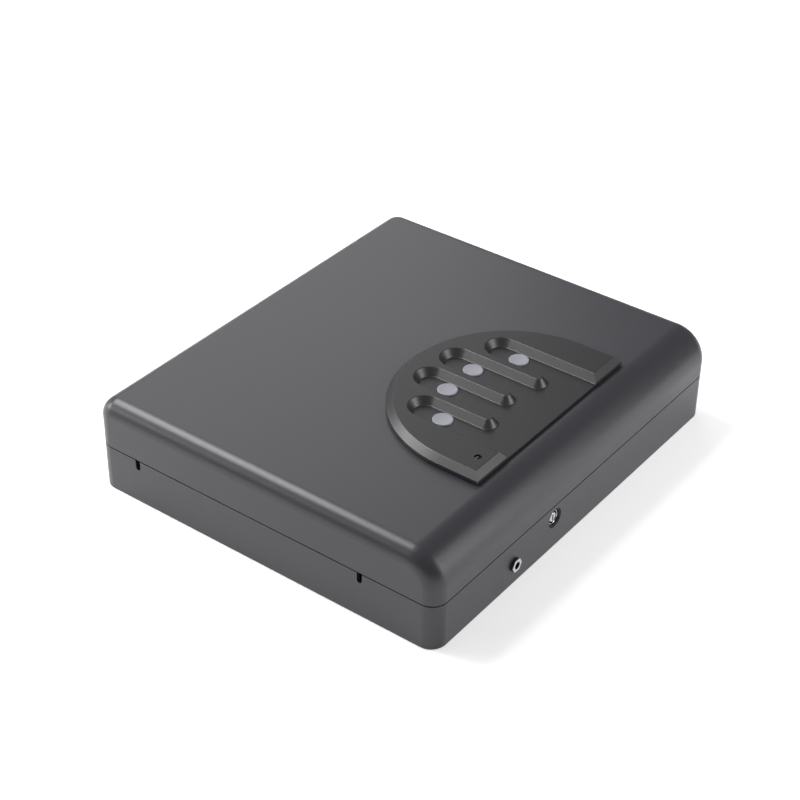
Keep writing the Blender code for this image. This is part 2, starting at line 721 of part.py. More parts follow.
def make_cover(finishes, pivot):
    """Pan on the lid's underside over the keypad's board and the battery bay, with door rails."""
    half_y = (COVER_REAR_Y - COVER_FRONT_Y) / 2
    middle = (COVER_REAR_Y + COVER_FRONT_Y) / 2

    def ring(inset, height):
        flat = rounded_rectangle(COVER_X - inset, half_y - inset, COVER_RADIUS - inset, COVER_CORNER_STEPS)
        return [stand((point[0], point[1] + middle), "Z", height) for point in flat]

    shape = bmesh.new()
    inner_floor = COVER_LOW + COVER_SHEET
    levels = ((0.0, COVER_LOW), (0.0, COVER_HIGH), (COVER_SHEET, COVER_HIGH), (COVER_SHEET, inner_floor))
    loft(shape, [ring(inset, height) for inset, height in levels])
    cover = put("lid_inner_cover", shape, finishes["dark_powder"], pivot)

    rails = bmesh.new()
    door_edge = HATCH_X + DOOR_OVERLAP
    door_low = COVER_LOW - GAP - DOOR_THICKNESS
    for side in (-1, 1):
        inner = side * (door_edge + GAP)
        outer = side * (door_edge + GAP + RAIL_WIDTH)
        lip = side * (door_edge - RAIL_LIP)
        outline = [
            (inner, COVER_LOW + RAIL_ROOT),
            (inner, door_low - GAP),
            (lip, door_low - GAP),
            (lip, door_low - GAP - RAIL_LIP_SHEET),
            (outer, door_low - GAP - RAIL_LIP_SHEET),
            (outer, COVER_LOW + RAIL_ROOT),
        ]
        prism(rails, outline, "Y", HATCH_Y[0] - DOOR_OVERLAP, HATCH_Y[1] + DOOR_OVERLAP)
    join(cover, "door_rails", rails)

    hatch = bmesh.new()
    low = (-HATCH_X, HATCH_Y[0], COVER_LOW - CUT_OVER)
    block(hatch, low, (HATCH_X, HATCH_Y[1], inner_floor + CUT_OVER))
    for side in (-1, 1):
        for screw_y in cover_screw_rows():
            centre = (side * cover_screw_x(), screw_y)
            low_z, high_z = COVER_LOW - CUT_OVER, inner_floor + CUT_OVER
            rod(hatch, centre, "Z", low_z, high_z, SCREW_HOLE_RADIUS, SMALL_STEPS)
    for screw_z in STRIKER_SCREW_Z:
        centre = (STRIKER_SCREW_X, screw_z)
        low_y, high_y = COVER_FRONT_Y - CUT_OVER, COVER_FRONT_Y + COVER_SHEET + CUT_OVER
        rod(hatch, centre, "Y", low_y, high_y, SMALL_SCREW_HOLE_RADIUS, FINE_STEPS)
    cut(cover, "cover_holes", hatch)
    return cover


def cover_screw_x():
    """Return how far the cover's screws stand from the middle."""
    return COVER_X - COVER_SCREW_INSET[0]


def cover_screw_rows():
    """Return the Y positions of the cover's screws."""
    return (COVER_FRONT_Y + COVER_SCREW_INSET[1], COVER_REAR_Y - COVER_SCREW_INSET[1])


def screw_profile(seat, way, end, share=1.0):
    """Profile of a pan-head screw.

    The head stands on its seat, upwards where way is 1, and the shank runs to its end.  share is
    the screw's size against the usual one.
    """
    radius = share * SCREW_HEAD_RADIUS
    height = share * SCREW_HEAD_HEIGHT
    return [
        (0.0, seat + way * height),
        (0.6 * radius, seat + way * 0.95 * height),
        (0.95 * radius, seat + way * 0.5 * height),
        (radius, seat),
        (share * SCREW_RADIUS, seat),
        (share * SCREW_RADIUS, end),
        (0.0, end),
    ]


def make_cover_screws(finishes, pivot):
    """Four pan-head screws that hold the cover to studs under the lid."""
    number = 0
    for side in (-1, 1):
        for screw_y in cover_screw_rows():
            number += 1
            centre = (side * cover_screw_x(), screw_y)
            seat = COVER_LOW - GAP
            crown = seat - SCREW_HEAD_HEIGHT
            shape = turned(bmesh.new(), screw_profile(seat, -1, COVER_HIGH - GAP), centre, "Z", SMALL_STEPS)
            screw = put(f"cover_screw_{number}", shape, finishes["zinc"], pivot)
            half_x, half_y = SCREW_SLOT_HALF
            recess = block(
                bmesh.new(),
                (centre[0] - half_x, centre[1] - half_y, crown - CUT_OVER),
                (centre[0] + half_x, centre[1] + half_y, crown + SCREW_SLOT_DEPTH),
            )
            cut(screw, f"cover_screw_slot_{number}", recess)


def make_battery_bay(finishes, pivot, door_origin):
    """Four cells side by side under a sliding door with a ribbed thumb patch."""
    for index in range(4):
        across = (index - 1.5) * CELL_PITCH
        nose = 1 if index % 2 else -1
        half = CELL_LENGTH / 2
        body_end = CELL_MIDDLE_Y + nose * (half - CELL_NUB_HEIGHT)
        profile = [
            (0.0, CELL_MIDDLE_Y - nose * half),
            (CELL_RADIUS - CELL_EDGE, CELL_MIDDLE_Y - nose * half),
            (CELL_RADIUS, CELL_MIDDLE_Y - nose * (half - CELL_EDGE)),
            (CELL_RADIUS, body_end - nose * CELL_EDGE),
            (CELL_RADIUS - CELL_EDGE, body_end),
            (CELL_NUB_RADIUS, body_end),
            (CELL_NUB_RADIUS, CELL_MIDDLE_Y + nose * half),
            (0.0, CELL_MIDDLE_Y + nose * half),
        ]
        shape = turned(bmesh.new(), profile, (across, CELL_AXIS_Z), "Y", SMALL_STEPS)
        put(f"battery_cell_{index + 1}", shape, finishes["cell"], pivot)
    for name, edge in (("battery_contact_front", -1), ("battery_contact_rear", 1)):
        start = CELL_MIDDLE_Y + edge * (CELL_LENGTH / 2 + CONTACT_GAP)
        low_y, high_y = sorted((start, start + edge * CONTACT_SHEET))
        low = (-CONTACT_HALF_X, low_y, CONTACT_Z[0])
        shape = block(bmesh.new(), low, (CONTACT_HALF_X, high_y, CONTACT_Z[1]))
        put(name, shape, finishes["zinc"], pivot)

    door_high = COVER_LOW - GAP
    door_low = door_high - DOOR_THICKNESS
    half_x = HATCH_X + DOOR_OVERLAP
    shape = block(
        bmesh.new(),
        (-half_x, HATCH_Y[0] - DOOR_OVERLAP, door_low),
        (half_x, HATCH_Y[1] + DOOR_OVERLAP, door_high),
    )
    door = put("battery_door", shape, finishes["black"], pivot, door_origin)
    ribs = bmesh.new()
    for index in range(DOOR_RIBS):
        rib_y = RIB_START_Y + index * RIB_PITCH
        foot = door_low + RIB_HALF
        outline = [(rib_y - RIB_HALF, foot), (rib_y, door_low - RIB_HALF), (rib_y + RIB_HALF, foot)]
        prism(ribs, outline, "X", -RIB_HALF_LENGTH, RIB_HALF_LENGTH)
    join(door, "door_ribs", ribs)
    return door


def curl(side):
    """Return the Y-Z outline of a hinge tongue and its rolled knuckle.  side is -1 for the base leaf."""
    start_y = LEAF_PLATE_Y + LEAF_SHEET / 2
    outer = []
    inner = []
    for point in arc((HINGE_Y, 0.0), KNUCKLE_OUTER, *CURL_DEGREES, CURL_STEPS):
        outer.append((point[0], HINGE_Z + side * point[1]))
    for point in arc((HINGE_Y, 0.0), KNUCKLE_INNER, *CURL_DEGREES, CURL_STEPS):
        inner.append((point[0], HINGE_Z + side * point[1]))
    tongue = [(start_y, HINGE_Z + side * KNUCKLE_OUTER)]
    return tongue + outer + list(reversed(inner)) + [(start_y, HINGE_Z + side * KNUCKLE_INNER)]


def make_hinges(finishes, pivot):
    """Two hinges: a base leaf with two rolled knuckles, a lid leaf with one, and a pin."""
    for name, side in (("left", -1), ("right", 1)):
        middle = side * HINGE_X
        plate_high = HINGE_Z - KNUCKLE_INNER + LEAF_LAP
        leaf = bmesh.new()
        block(
            leaf,
            (middle - LEAF_HALF, LEAF_PLATE_Y, plate_high - LEAF_REACH),
            (middle + LEAF_HALF, LEAF_PLATE_Y + LEAF_SHEET, plate_high),
        )
        base_leaf = put(f"hinge_leaf_base_{name}", leaf, finishes["zinc"])
        knuckles = bmesh.new()
        knuckle_end = LEAF_HALF - KNUCKLE_END_GAP
        prism(knuckles, curl(-1), "X", middle - knuckle_end, middle - BASE_KNUCKLE_START)
        prism(knuckles, curl(-1), "X", middle + BASE_KNUCKLE_START, middle + knuckle_end)
        join(base_leaf, f"base_knuckles_{name}", knuckles)

        plate_low = HINGE_Z + KNUCKLE_INNER - LEAF_LAP
        leaf = bmesh.new()
        block(
            leaf,
            (middle - LEAF_HALF, LEAF_PLATE_Y, plate_low),
            (middle + LEAF_HALF, LEAF_PLATE_Y + LEAF_SHEET, plate_low + LEAF_REACH),
        )
        lid_leaf = put(f"hinge_leaf_lid_{name}", leaf, finishes["zinc"], pivot)
        knuckle = prism(bmesh.new(), curl(1), "X", middle - LID_KNUCKLE_HALF, middle + LID_KNUCKLE_HALF)
        join(lid_leaf, f"lid_knuckle_{name}", knuckle)

        end = LEAF_HALF + PIN_OVER
        shape = rod(bmesh.new(), (HINGE_Y, HINGE_Z), "X", middle - end, middle + end, PIN_RADIUS, SMALL_STEPS)
        put(f"hinge_pin_{name}", shape, finishes["zinc"])


def make_lock(finishes, key_pivot):
    """Key lock: bezel lining the hole, barrel on a bracket with a nut, turning plug and cam."""
    centre = (LOCK_X, LOCK_Z)
    wall_back = FRONT + SHEET
    bezel = [
        (BEZEL_INNER, FRONT + GAP),
        (BEZEL_OUTER, FRONT + GAP),
        (BEZEL_OUTER, wall_back + GAP),
        (BEZEL_FLANGE_RADIUS, wall_back + GAP),
        (BEZEL_FLANGE_RADIUS, wall_back + GAP + BEZEL_FLANGE),
        (BEZEL_INNER, wall_back + GAP + BEZEL_FLANGE),
    ]
    put("lock_bezel", turned(bmesh.new(), bezel, centre, "Y"), finishes["black"])

    barrel = [
        (PLUG_BORE, BARREL_FACE_Y),
        (BARREL_RADIUS - BARREL_EDGE, BARREL_FACE_Y),
        (BARREL_RADIUS, BARREL_FACE_Y + BARREL_EDGE),
        (BARREL_RADIUS, wall_back + BARREL_FLANGE_Y[0]),
        (BARREL_FLANGE_RADIUS, wall_back + BARREL_FLANGE_Y[0]),
        (BARREL_FLANGE_RADIUS, wall_back + BARREL_FLANGE_Y[1]),
        (BARREL_RADIUS, wall_back + BARREL_FLANGE_Y[1]),
        (BARREL_RADIUS, BARREL_END_Y),
        (PLUG_BORE, BARREL_END_Y),
    ]
    put("lock_barrel", turned(bmesh.new(), barrel, centre, "Y"), finishes["chrome"])

    nut = bmesh.new()
    nut_low = BRACKET_Y + BRACKET_SHEET + GAP
    nut_high = nut_low + LOCK_NUT_THICKNESS
    rod(nut, centre, "Y", nut_low, nut_high, LOCK_NUT_RADIUS, HEX_SIDES)
    nut_object = put("lock_nut", nut, finishes["zinc"])
    bore = rod(bmesh.new(), centre, "Y", nut_low - CUT_OVER, nut_high + CUT_OVER, BARREL_RADIUS + GAP)
    cut(nut_object, "lock_nut_bore", bore)

    bracket = bmesh.new()
    top = HOUSING_TOP - HOUSING_SHEET - GAP
    outline = [
        (BRACKET_Y, LOW_REST),
        (BRACKET_Y + BRACKET_FOOT, LOW_REST),
        (BRACKET_Y + BRACKET_FOOT, LOW_REST + BRACKET_SHEET),
        (BRACKET_Y + BRACKET_SHEET, LOW_REST + BRACKET_SHEET),
        (BRACKET_Y + BRACKET_SHEET, top),
        (BRACKET_Y, top),
    ]
    prism(bracket, outline, "X", LOCK_X - BRACKET_HALF, LOCK_X + BRACKET_HALF)
    bracket_object = put("lock_bracket", bracket, finishes["zinc"])
    behind = BRACKET_Y + BRACKET_SHEET + CUT_OVER
    bore = rod(bmesh.new(), centre, "Y", BRACKET_Y - CUT_OVER, behind, BARREL_RADIUS + GAP)
    cut(bracket_object, "lock_bracket_bore", bore)

    plug = [
        (0.0, PLUG_FACE_Y),
        (PLUG_RADIUS - PLUG_EDGE, PLUG_FACE_Y),
        (PLUG_RADIUS, PLUG_FACE_Y + PLUG_EDGE),
        (PLUG_RADIUS, BARREL_END_Y),
        (PLUG_TAIL_RADIUS, BARREL_END_Y),
        (PLUG_TAIL_RADIUS, BARREL_END_Y + PLUG_TAIL),
        (0.0, BARREL_END_Y + PLUG_TAIL),
    ]
    plug_object = put("lock_plug", turned(bmesh.new(), plug, centre, "Y"), finishes["chrome"], key_pivot)
    keyway = block(
        bmesh.new(),
        (LOCK_X - KEYWAY_HALF[0], PLUG_FACE_Y - CUT_OVER, LOCK_Z - KEYWAY_HALF[1]),
        (LOCK_X + KEYWAY_HALF[0], PLUG_FACE_Y + KEYWAY_DEPTH, LOCK_Z + KEYWAY_HALF[1]),
    )
    cut(plug_object, "keyway", keyway)

    start = math.radians(CAM_START_DEGREES)
    pin_x = LOCK_X + CAM_PIN_OFFSET * math.sin(start)
    pin_z = LOCK_Z - CAM_PIN_OFFSET * math.cos(start)
    cam_low = BARREL_END_Y + GAP
    cam_high = cam_low + CAM_SHEET
    cam = rod(bmesh.new(), centre, "Y", cam_low, cam_high, CAM_RADIUS)
    cam_object = put("lock_cam", cam, finishes["zinc"], key_pivot)
    bore = rod(bmesh.new(), centre, "Y", cam_low - CUT_OVER, cam_high + CUT_OVER, PLUG_TAIL_RADIUS + GAP)
    cut(cam_object, "cam_bore", bore)
    pin_start = (cam_low + cam_high) / 2
    pin_end = BOLT_Y[1] - GAP
    pin = rod(bmesh.new(), (pin_x, pin_z), "Y", pin_start, pin_end, CAM_PIN_RADIUS, SMALL_STEPS)
    join(cam_object, "cam_pin", pin)


def make_latch(finishes, latch_pivot):
    """Latch: flat bolt with a cam slot, pinned in the slotted plunger of a solenoid."""
    half = BOLT_NOSE_HALF
    outline = [
        (BOLT_TIP_X + BOLT_CHAMFER, BOLT_Z - half),
        (BOLT_BODY_X[0], BOLT_Z - half),
        (BOLT_BODY_X[0], BOLT_BODY_Z[0]),
        (BOLT_BODY_X[1], BOLT_BODY_Z[0]),
        (BOLT_BODY_X[1], BOLT_Z - BOLT_TAIL_HALF),
        (BOLT_TAIL_X, BOLT_Z - BOLT_TAIL_HALF),
        (BOLT_TAIL_X, BOLT_Z + BOLT_TAIL_HALF),
        (BOLT_BODY_X[1], BOLT_Z + BOLT_TAIL_HALF),
        (BOLT_BODY_X[1], BOLT_BODY_Z[1]),
        (BOLT_BODY_X[0], BOLT_BODY_Z[1]),
        (BOLT_BODY_X[0], BOLT_Z + half),
        (BOLT_TIP_X + BOLT_CHAMFER, BOLT_Z + half),
        (BOLT_TIP_X, BOLT_Z + half - BOLT_CHAMFER),
        (BOLT_TIP_X, BOLT_Z - half + BOLT_CHAMFER),
    ]
    bolt = put("latch_bolt", prism(bmesh.new(), outline, "Y", *BOLT_Y), finishes["zinc"], latch_pivot)
    cuts = bmesh.new()
    start = math.radians(CAM_START_DEGREES)
    slot_x = LOCK_X + CAM_PIN_OFFSET * math.sin(start)
    slot_half = CAM_PIN_RADIUS + CAM_SLOT_GAP
    slot_low = LOCK_Z - CAM_PIN_OFFSET
    slot_high = LOCK_Z - CAM_PIN_OFFSET * math.cos(start)
    slot = arc((slot_x, slot_high), slot_half, 0.0, 180.0, 8)
    slot += arc((slot_x, slot_low), slot_half, 180.0, 360.0, 8)
    prism(cuts, slot, "Y", BOLT_Y[0] - CUT_OVER, BOLT_Y[1] + CUT_OVER)
    pin_place = (PLUNGER_PIN_X, BOLT_Z)
    pin_hole = PLUNGER_PIN_RADIUS + GAP
    rod(cuts, pin_place, "Y", BOLT_Y[0] - CUT_OVER, BOLT_Y[1] + CUT_OVER, pin_hole, FINE_STEPS)
    cut(bolt, "bolt_cuts", cuts)

    middle_y = (BOLT_Y[0] + BOLT_Y[1]) / 2
    axis_point = (middle_y, BOLT_Z)
    plunger = rod(bmesh.new(), axis_point, "X", PLUNGER_X[0], PLUNGER_X[1], PLUNGER_RADIUS)
    plunger_object = put("solenoid_plunger", plunger, finishes["zinc"], latch_pivot)
    cuts = bmesh.new()
    low = (PLUNGER_X[0] - CUT_OVER, BOLT_Y[0] - GAP, BOLT_Z - PLUNGER_SLOT_HALF)
    block(cuts, low, (PLUNGER_SLOT_X, BOLT_Y[1] + GAP, BOLT_Z + PLUNGER_SLOT_HALF))
    cut(plunger_object, "plunger_slot", cuts)
    reach = PLUNGER_RADIUS + CUT_OVER
    cross = rod(bmesh.new(), pin_place, "Y", middle_y - reach, middle_y + reach, pin_hole, FINE_STEPS)
    cut(plunger_object, "plunger_pin_hole", cross)
    pin_low, pin_high = middle_y - PLUNGER_PIN_HALF, middle_y + PLUNGER_PIN_HALF
    pin = rod(bmesh.new(), pin_place, "Y", pin_low, pin_high, PLUNGER_PIN_RADIUS, FINE_STEPS)
    put("plunger_pin", pin, finishes["zinc"], latch_pivot)

    profile = [
        (PLUNGER_BORE, COIL_X[0]),
        (COIL_FLANGE_RADIUS, COIL_X[0]),
        (COIL_FLANGE_RADIUS, COIL_X[0] + COIL_FLANGE),
        (COIL_RADIUS, COIL_X[0] + COIL_FLANGE),
        (COIL_RADIUS, COIL_X[1] - COIL_FLANGE),
        (COIL_FLANGE_RADIUS, COIL_X[1] - COIL_FLANGE),
        (COIL_FLANGE_RADIUS, COIL_X[1]),
        (PLUNGER_BORE, COIL_X[1]),
    ]
    put("solenoid_coil", turned(bmesh.new(), profile, axis_point, "X"), finishes["copper"])
    top = BOLT_Z + COIL_RADIUS
    outline = [
        (FRAME_X[0], LOW_REST),
        (FRAME_X[1], LOW_REST),
        (FRAME_X[1], top),
        (FRAME_X[1] - FRAME_SHEET, top),
        (FRAME_X[1] - FRAME_SHEET, LOW_REST + FRAME_SHEET),
        (FRAME_X[0] + FRAME_SHEET, LOW_REST + FRAME_SHEET),
        (FRAME_X[0] + FRAME_SHEET, top),
        (FRAME_X[0], top),
    ]
    bent = prism(bmesh.new(), outline, "Y", middle_y - FRAME_HALF_Y, middle_y + FRAME_HALF_Y)
    frame = put("solenoid_frame", bent, finishes["zinc"])
    bore = rod(bmesh.new(), axis_point, "X", FRAME_X[0] - CUT_OVER, FRAME_X[1] + CUT_OVER, PLUNGER_BORE)
    cut(frame, "frame_bores", bore)

    guide_low = GUIDE_X - GUIDE_SHEET / 2
    guide_high = GUIDE_X + GUIDE_SHEET / 2
    outline = [
        (guide_low, LOW_REST),
        (guide_high + GUIDE_FOOT, LOW_REST),
        (guide_high + GUIDE_FOOT, LOW_REST + GUIDE_SHEET),
        (guide_high, LOW_REST + GUIDE_SHEET),
        (guide_high, GUIDE_TOP),
        (guide_low, GUIDE_TOP),
    ]
    bent = prism(bmesh.new(), outline, "Y", middle_y - GUIDE_HALF_Y, middle_y + GUIDE_HALF_Y)
    guide = put("bolt_guide", bent, finishes["zinc"])
    window = block(
        bmesh.new(),
        (guide_low - CUT_OVER, BOLT_Y[0] - GAP, BOLT_Z - half - GAP),
        (guide_high + CUT_OVER, BOLT_Y[1] + GAP, BOLT_Z + half + GAP),
    )
    cut(guide, "guide_window", window)


def make_striker(finishes, pivot):
    """Angle that hangs from the lid's cover, with the window that the bolt enters."""
    web = [
        (STRIKER_WEB_Y[0], STRIKER_FOOT_Z),
        (STRIKER_WEB_Y[1], STRIKER_FOOT_Z),
        (STRIKER_WEB_Y[1], STRIKER_STEP_Z),
        (STRIKER_BACK_Y, STRIKER_STEP_Z),
        (STRIKER_BACK_Y, STRIKER_TOP_Z),
        (STRIKER_ARM_Y + STRIKER_TOP_CORNER[0], STRIKER_TOP_Z),
        (STRIKER_ARM_Y, STRIKER_TOP_Z - STRIKER_TOP_CORNER[1]),
        (STRIKER_ARM_Y, STRIKER_ARM_Z[1]),
        (STRIKER_WEB_Y[0], STRIKER_ARM_Z[0]),
    ]
    low_x = STRIKER_X - STRIKER_SHEET / 2
    high_x = STRIKER_X + STRIKER_SHEET / 2
    striker = put("striker_plate", prism(bmesh.new(), web, "X", low_x, high_x), finishes["zinc"], pivot)
    face_y = STRIKER_BACK_Y - STRIKER_FLANGE_SHEET
    flange = block(
        bmesh.new(),
        (low_x - STRIKER_FLANGE_REACH, face_y, STRIKER_FLANGE_Z[0]),
        (STRIKER_X, STRIKER_BACK_Y - STRIKER_FLANGE_LAP, STRIKER_FLANGE_Z[1]),
    )
    join(striker, "striker_flange", flange)
    cuts = block(
        bmesh.new(),
        (low_x - CUT_OVER, STRIKER_WINDOW_Y[0], BOLT_Z - STRIKER_WINDOW_HALF_Z),
        (high_x + CUT_OVER, STRIKER_WINDOW_Y[1], BOLT_Z + STRIKER_WINDOW_HALF_Z),
    )
    for screw_z in STRIKER_SCREW_Z:
        low_y, high_y = face_y - CUT_OVER, STRIKER_BACK_Y + CUT_OVER
        rod(cuts, (STRIKER_SCREW_X, screw_z), "Y", low_y, high_y, SMALL_SCREW_HOLE_RADIUS, FINE_STEPS)
    cut(striker, "striker_window", cuts)
    end = COVER_FRONT_Y + COVER_SHEET + STRIKER_SCREW_OVER
    for index, screw_z in enumerate(STRIKER_SCREW_Z):
        profile = screw_profile(face_y - GAP, -1, end, SMALL_SCREW)
        shape = turned(bmesh.new(), profile, (STRIKER_SCREW_X, screw_z), "Y", FINE_STEPS)
        put(f"striker_screw_{index + 1}", shape, finishes["zinc"], pivot)


def make_housing(finishes):
    """Sheet cover over the lock and latch, screwed to the floor, slotted for the striker."""
    shape = block(
        bmesh.new(),
        (HOUSING_X[0], HOUSING_Y[0], LOW_REST),
        (HOUSING_X[1], HOUSING_Y[1], HOUSING_TOP),
    )
    housing = put("latch_housing", shape, finishes["dark_powder"])
    feet = bmesh.new()
    foot_top = LOW_REST + HOUSING_SHEET
    for edge, side in zip(HOUSING_X, (-1, 1)):
        low_x, high_x = sorted((edge - side * HOUSING_SHEET / 2, edge + side * HOUSING_FOOT))
        block(feet, (low_x, HOUSING_FOOT_Y[0], LOW_REST), (high_x, HOUSING_FOOT_Y[1], foot_top))
    join(housing, "housing_feet", feet)
    cuts = bmesh.new()
    block(
        cuts,
        (HOUSING_X[0] + HOUSING_SHEET, HOUSING_Y[0] - CUT_OVER, LOW_REST - CUT_OVER),
        (HOUSING_X[1] - HOUSING_SHEET, HOUSING_Y[1] - HOUSING_SHEET, HOUSING_TOP - HOUSING_SHEET),
    )
    cut(housing, "housing_inside", cuts)
    holes = bmesh.new()
    block(
        holes,
        (STRIKER_X - HOUSING_SLOT_HALF_X, HOUSING_SLOT_Y[0], HOUSING_TOP - HOUSING_SHEET - CUT_OVER),
        (STRIKER_X + HOUSING_SLOT_HALF_X, HOUSING_SLOT_Y[1], HOUSING_TOP + CUT_OVER),
    )
    screw_y = sum(HOUSING_FOOT_Y) / 2
    for edge, side in zip(HOUSING_X, (-1, 1)):
        centre = (edge + side * HOUSING_FOOT / 2, screw_y)
        rod(holes, centre, "Z", LOW_REST - CUT_OVER, foot_top + CUT_OVER, SCREW_HOLE_RADIUS, SMALL_STEPS)
    cut(housing, "housing_holes", holes)
    for index, (edge, side) in enumerate(zip(HOUSING_X, (-1, 1))):
        centre = (edge + side * HOUSING_FOOT / 2, screw_y)
        screw = turned(bmesh.new(), screw_profile(foot_top + GAP, 1, LOW_REST), centre, "Z", SMALL_STEPS)
        put(f"housing_screw_{index + 1}", screw, finishes["zinc"])


def make_power_jack(finishes):
    """Power jack: black barrel and collar through the wall, bright hexagonal face, centre pin."""
    centre = (JACK_X, JACK_Z)
    wall_back = FRONT + SHEET
    bore_end = wall_back + JACK_BODY_LENGTH - JACK_BODY_END
    profile = [
        (JACK_BORE, JACK_FACE_Y),
        (JACK_COLLAR_RADIUS, JACK_FACE_Y),
        (JACK_COLLAR_RADIUS, FRONT - GAP),
        (JACK_RADIUS, FRONT - GAP),
        (JACK_RADIUS, wall_back + GAP),
        (JACK_BODY_RADIUS, wall_back + GAP),
        (JACK_BODY_RADIUS, wall_back + JACK_BODY_LENGTH),
        (0.0, wall_back + JACK_BODY_LENGTH),
        (0.0, bore_end),
        (JACK_BORE, bore_end),
    ]
    put("power_jack_body", turned(bmesh.new(), profile, centre, "Y"), finishes["black"])
    face_high = JACK_FACE_Y - JACK_HEX_GAP
    face_low = face_high - JACK_HEX_THICKNESS
    ring = rod(bmesh.new(), centre, "Y", face_low, face_high, JACK_HEX_RADIUS, HEX_SIDES)
    nut = put("power_jack_nut", ring, finishes["chrome"])
    mouth = rod(bmesh.new(), centre, "Y", face_low - CUT_OVER, face_high + CUT_OVER, JACK_BORE, SMALL_STEPS)
    cut(nut, "power_jack_mouth", mouth)
    pin_low, pin_high = JACK_FACE_Y + JACK_PIN_SET_BACK, bore_end - GAP
    pin = rod(bmesh.new(), centre, "Y", pin_low, pin_high, JACK_PIN_RADIUS, FINE_STEPS)
    put("power_jack_pin", pin, finishes["zinc"])


def build():
    """Make the whole safe."""
    clear_scene()
    finishes = make_finishes()
    lid_pivot = new_pivot("lid_hinge_axis", (0.0, HINGE_Y, HINGE_Z))
    key_pivot = new_pivot("key_turn_axis", (LOCK_X, PLUG_FACE_Y, LOCK_Z))
    latch_pivot = new_pivot("latch_slide_axis", (BOLT_TIP_X, sum(BOLT_Y) / 2, BOLT_Z))
    door_origin = (0.0, sum(HATCH_Y) / 2, COVER_LOW - GAP - DOOR_THICKNESS / 2)
    make_tray(finishes)
    make_rim(finishes)
    make_base_foam(finishes)
    make_housing(finishes)
    make_lock(finishes, key_pivot)
    make_latch(finishes, latch_pivot)
    make_power_jack(finishes)
    make_hinges(finishes, lid_pivot)
    make_lid(finishes, lid_pivot)
    make_gasket(finishes, lid_pivot)
    make_keypad_panel(finishes, lid_pivot)
    make_buttons(finishes, lid_pivot)
    make_light(finishes, lid_pivot)
    make_board(finishes, lid_pivot)
    make_cover(finishes, lid_pivot)
    make_cover_screws(finishes, lid_pivot)
    make_battery_bay(finishes, lid_pivot, door_origin)
    make_striker(finishes, lid_pivot)


build()
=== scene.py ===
"""Portable electronic safe, dressed around its packed construction model.

Metres, +Z up.  -Y is the front with the key lock and the power jack, +Y is the hinge side.
"""
import json
import logging
import math
from dataclasses import dataclass, field
from enum import Enum
from typing import Sequence

import bmesh
import bpy
from mathutils import Matrix, Vector


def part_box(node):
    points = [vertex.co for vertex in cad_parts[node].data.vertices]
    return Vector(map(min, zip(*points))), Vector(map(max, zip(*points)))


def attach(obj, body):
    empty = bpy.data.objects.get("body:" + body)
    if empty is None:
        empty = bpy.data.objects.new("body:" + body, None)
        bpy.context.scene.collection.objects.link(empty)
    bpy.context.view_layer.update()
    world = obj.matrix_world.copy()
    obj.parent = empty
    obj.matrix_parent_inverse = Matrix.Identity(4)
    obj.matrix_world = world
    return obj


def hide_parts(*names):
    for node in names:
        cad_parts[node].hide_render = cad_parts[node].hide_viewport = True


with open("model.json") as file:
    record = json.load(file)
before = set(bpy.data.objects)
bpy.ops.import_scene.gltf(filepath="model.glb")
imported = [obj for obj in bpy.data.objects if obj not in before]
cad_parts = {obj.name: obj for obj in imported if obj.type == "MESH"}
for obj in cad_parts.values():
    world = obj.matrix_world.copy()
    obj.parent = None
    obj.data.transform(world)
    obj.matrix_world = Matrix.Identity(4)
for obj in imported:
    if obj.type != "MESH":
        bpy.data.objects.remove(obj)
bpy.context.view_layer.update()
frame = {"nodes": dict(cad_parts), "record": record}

LOG = logging.getLogger("safe")
MM = 0.001
# The steel's thickness, and the clearance between pieces that don't touch.
SHEET = 0.0015
GAP = 0.0003
# How far a cutter stands out of what it cuts, and how near two points are one.
OVER = 0.002
WELD = 1e-6

Flat = tuple[float, float]
Colour = tuple[float, float, float, float]
Shape = bmesh.types.BMesh
Tree = bpy.types.NodeTree
Socket = bpy.types.NodeSocket


class Axis(Enum):
    """World axis that a flat outline is extruded or turned about."""

    X = Vector((1.0, 0.0, 0.0))
    Y = Vector((0.0, 1.0, 0.0))
    Z = Vector((0.0, 0.0, 1.0))

    def place(self, point: Flat, height: float) -> Vector:
        """Place a flat point at a height along this axis.

        Args:
            point: the pair (Y, Z), (X, Z) or (X, Y) for X, Y or Z.
            height: distance along the axis, in metres.

        Returns:
            The point in world metres.
        """
        if self is Axis.X:
            return Vector((height, point[0], point[1]))
        if self is Axis.Y:
            return Vector((point[0], height, point[1]))
        return Vector((point[0], point[1], height))


def srgb(code: str, alpha: float = 1.0) -> Colour:
    """Turn an sRGB hex code to a linear colour.

    Args:
        code: six hex digits after a hash sign.
        alpha: opacity, 0 to 1.

    Returns:
        Linear red, green, blue and alpha.
    """
    parts = [int(code[start:start + 2], 16) / 255 for start in (1, 3, 5)]
    linear = [part / 12.92 if part <= 0.04045 else ((part + 0.055) / 1.055) ** 2.4 for part in parts]
    return (linear[0], linear[1], linear[2], alpha)


def add_node(tree: Tree, kind: str, settings: dict, links: dict) -> bpy.types.Node:
    """Add one node with its settings and its incoming links.

    Args:
        tree: the material's or the world's node tree.
        kind: Blender's node type.
        settings: attribute names, or input names, with their values.
        links: input names with the output sockets that feed them.

    Returns:
        The new node.
    """
    node = tree.nodes.new(kind)
    for name, value in settings.items():
        if isinstance(name, str) and hasattr(node, name):
            setattr(node, name, value)
        else:
            node.inputs[name].default_value = value
    for name, socket in links.items():
        tree.links.new(socket, node.inputs[name])
    return node


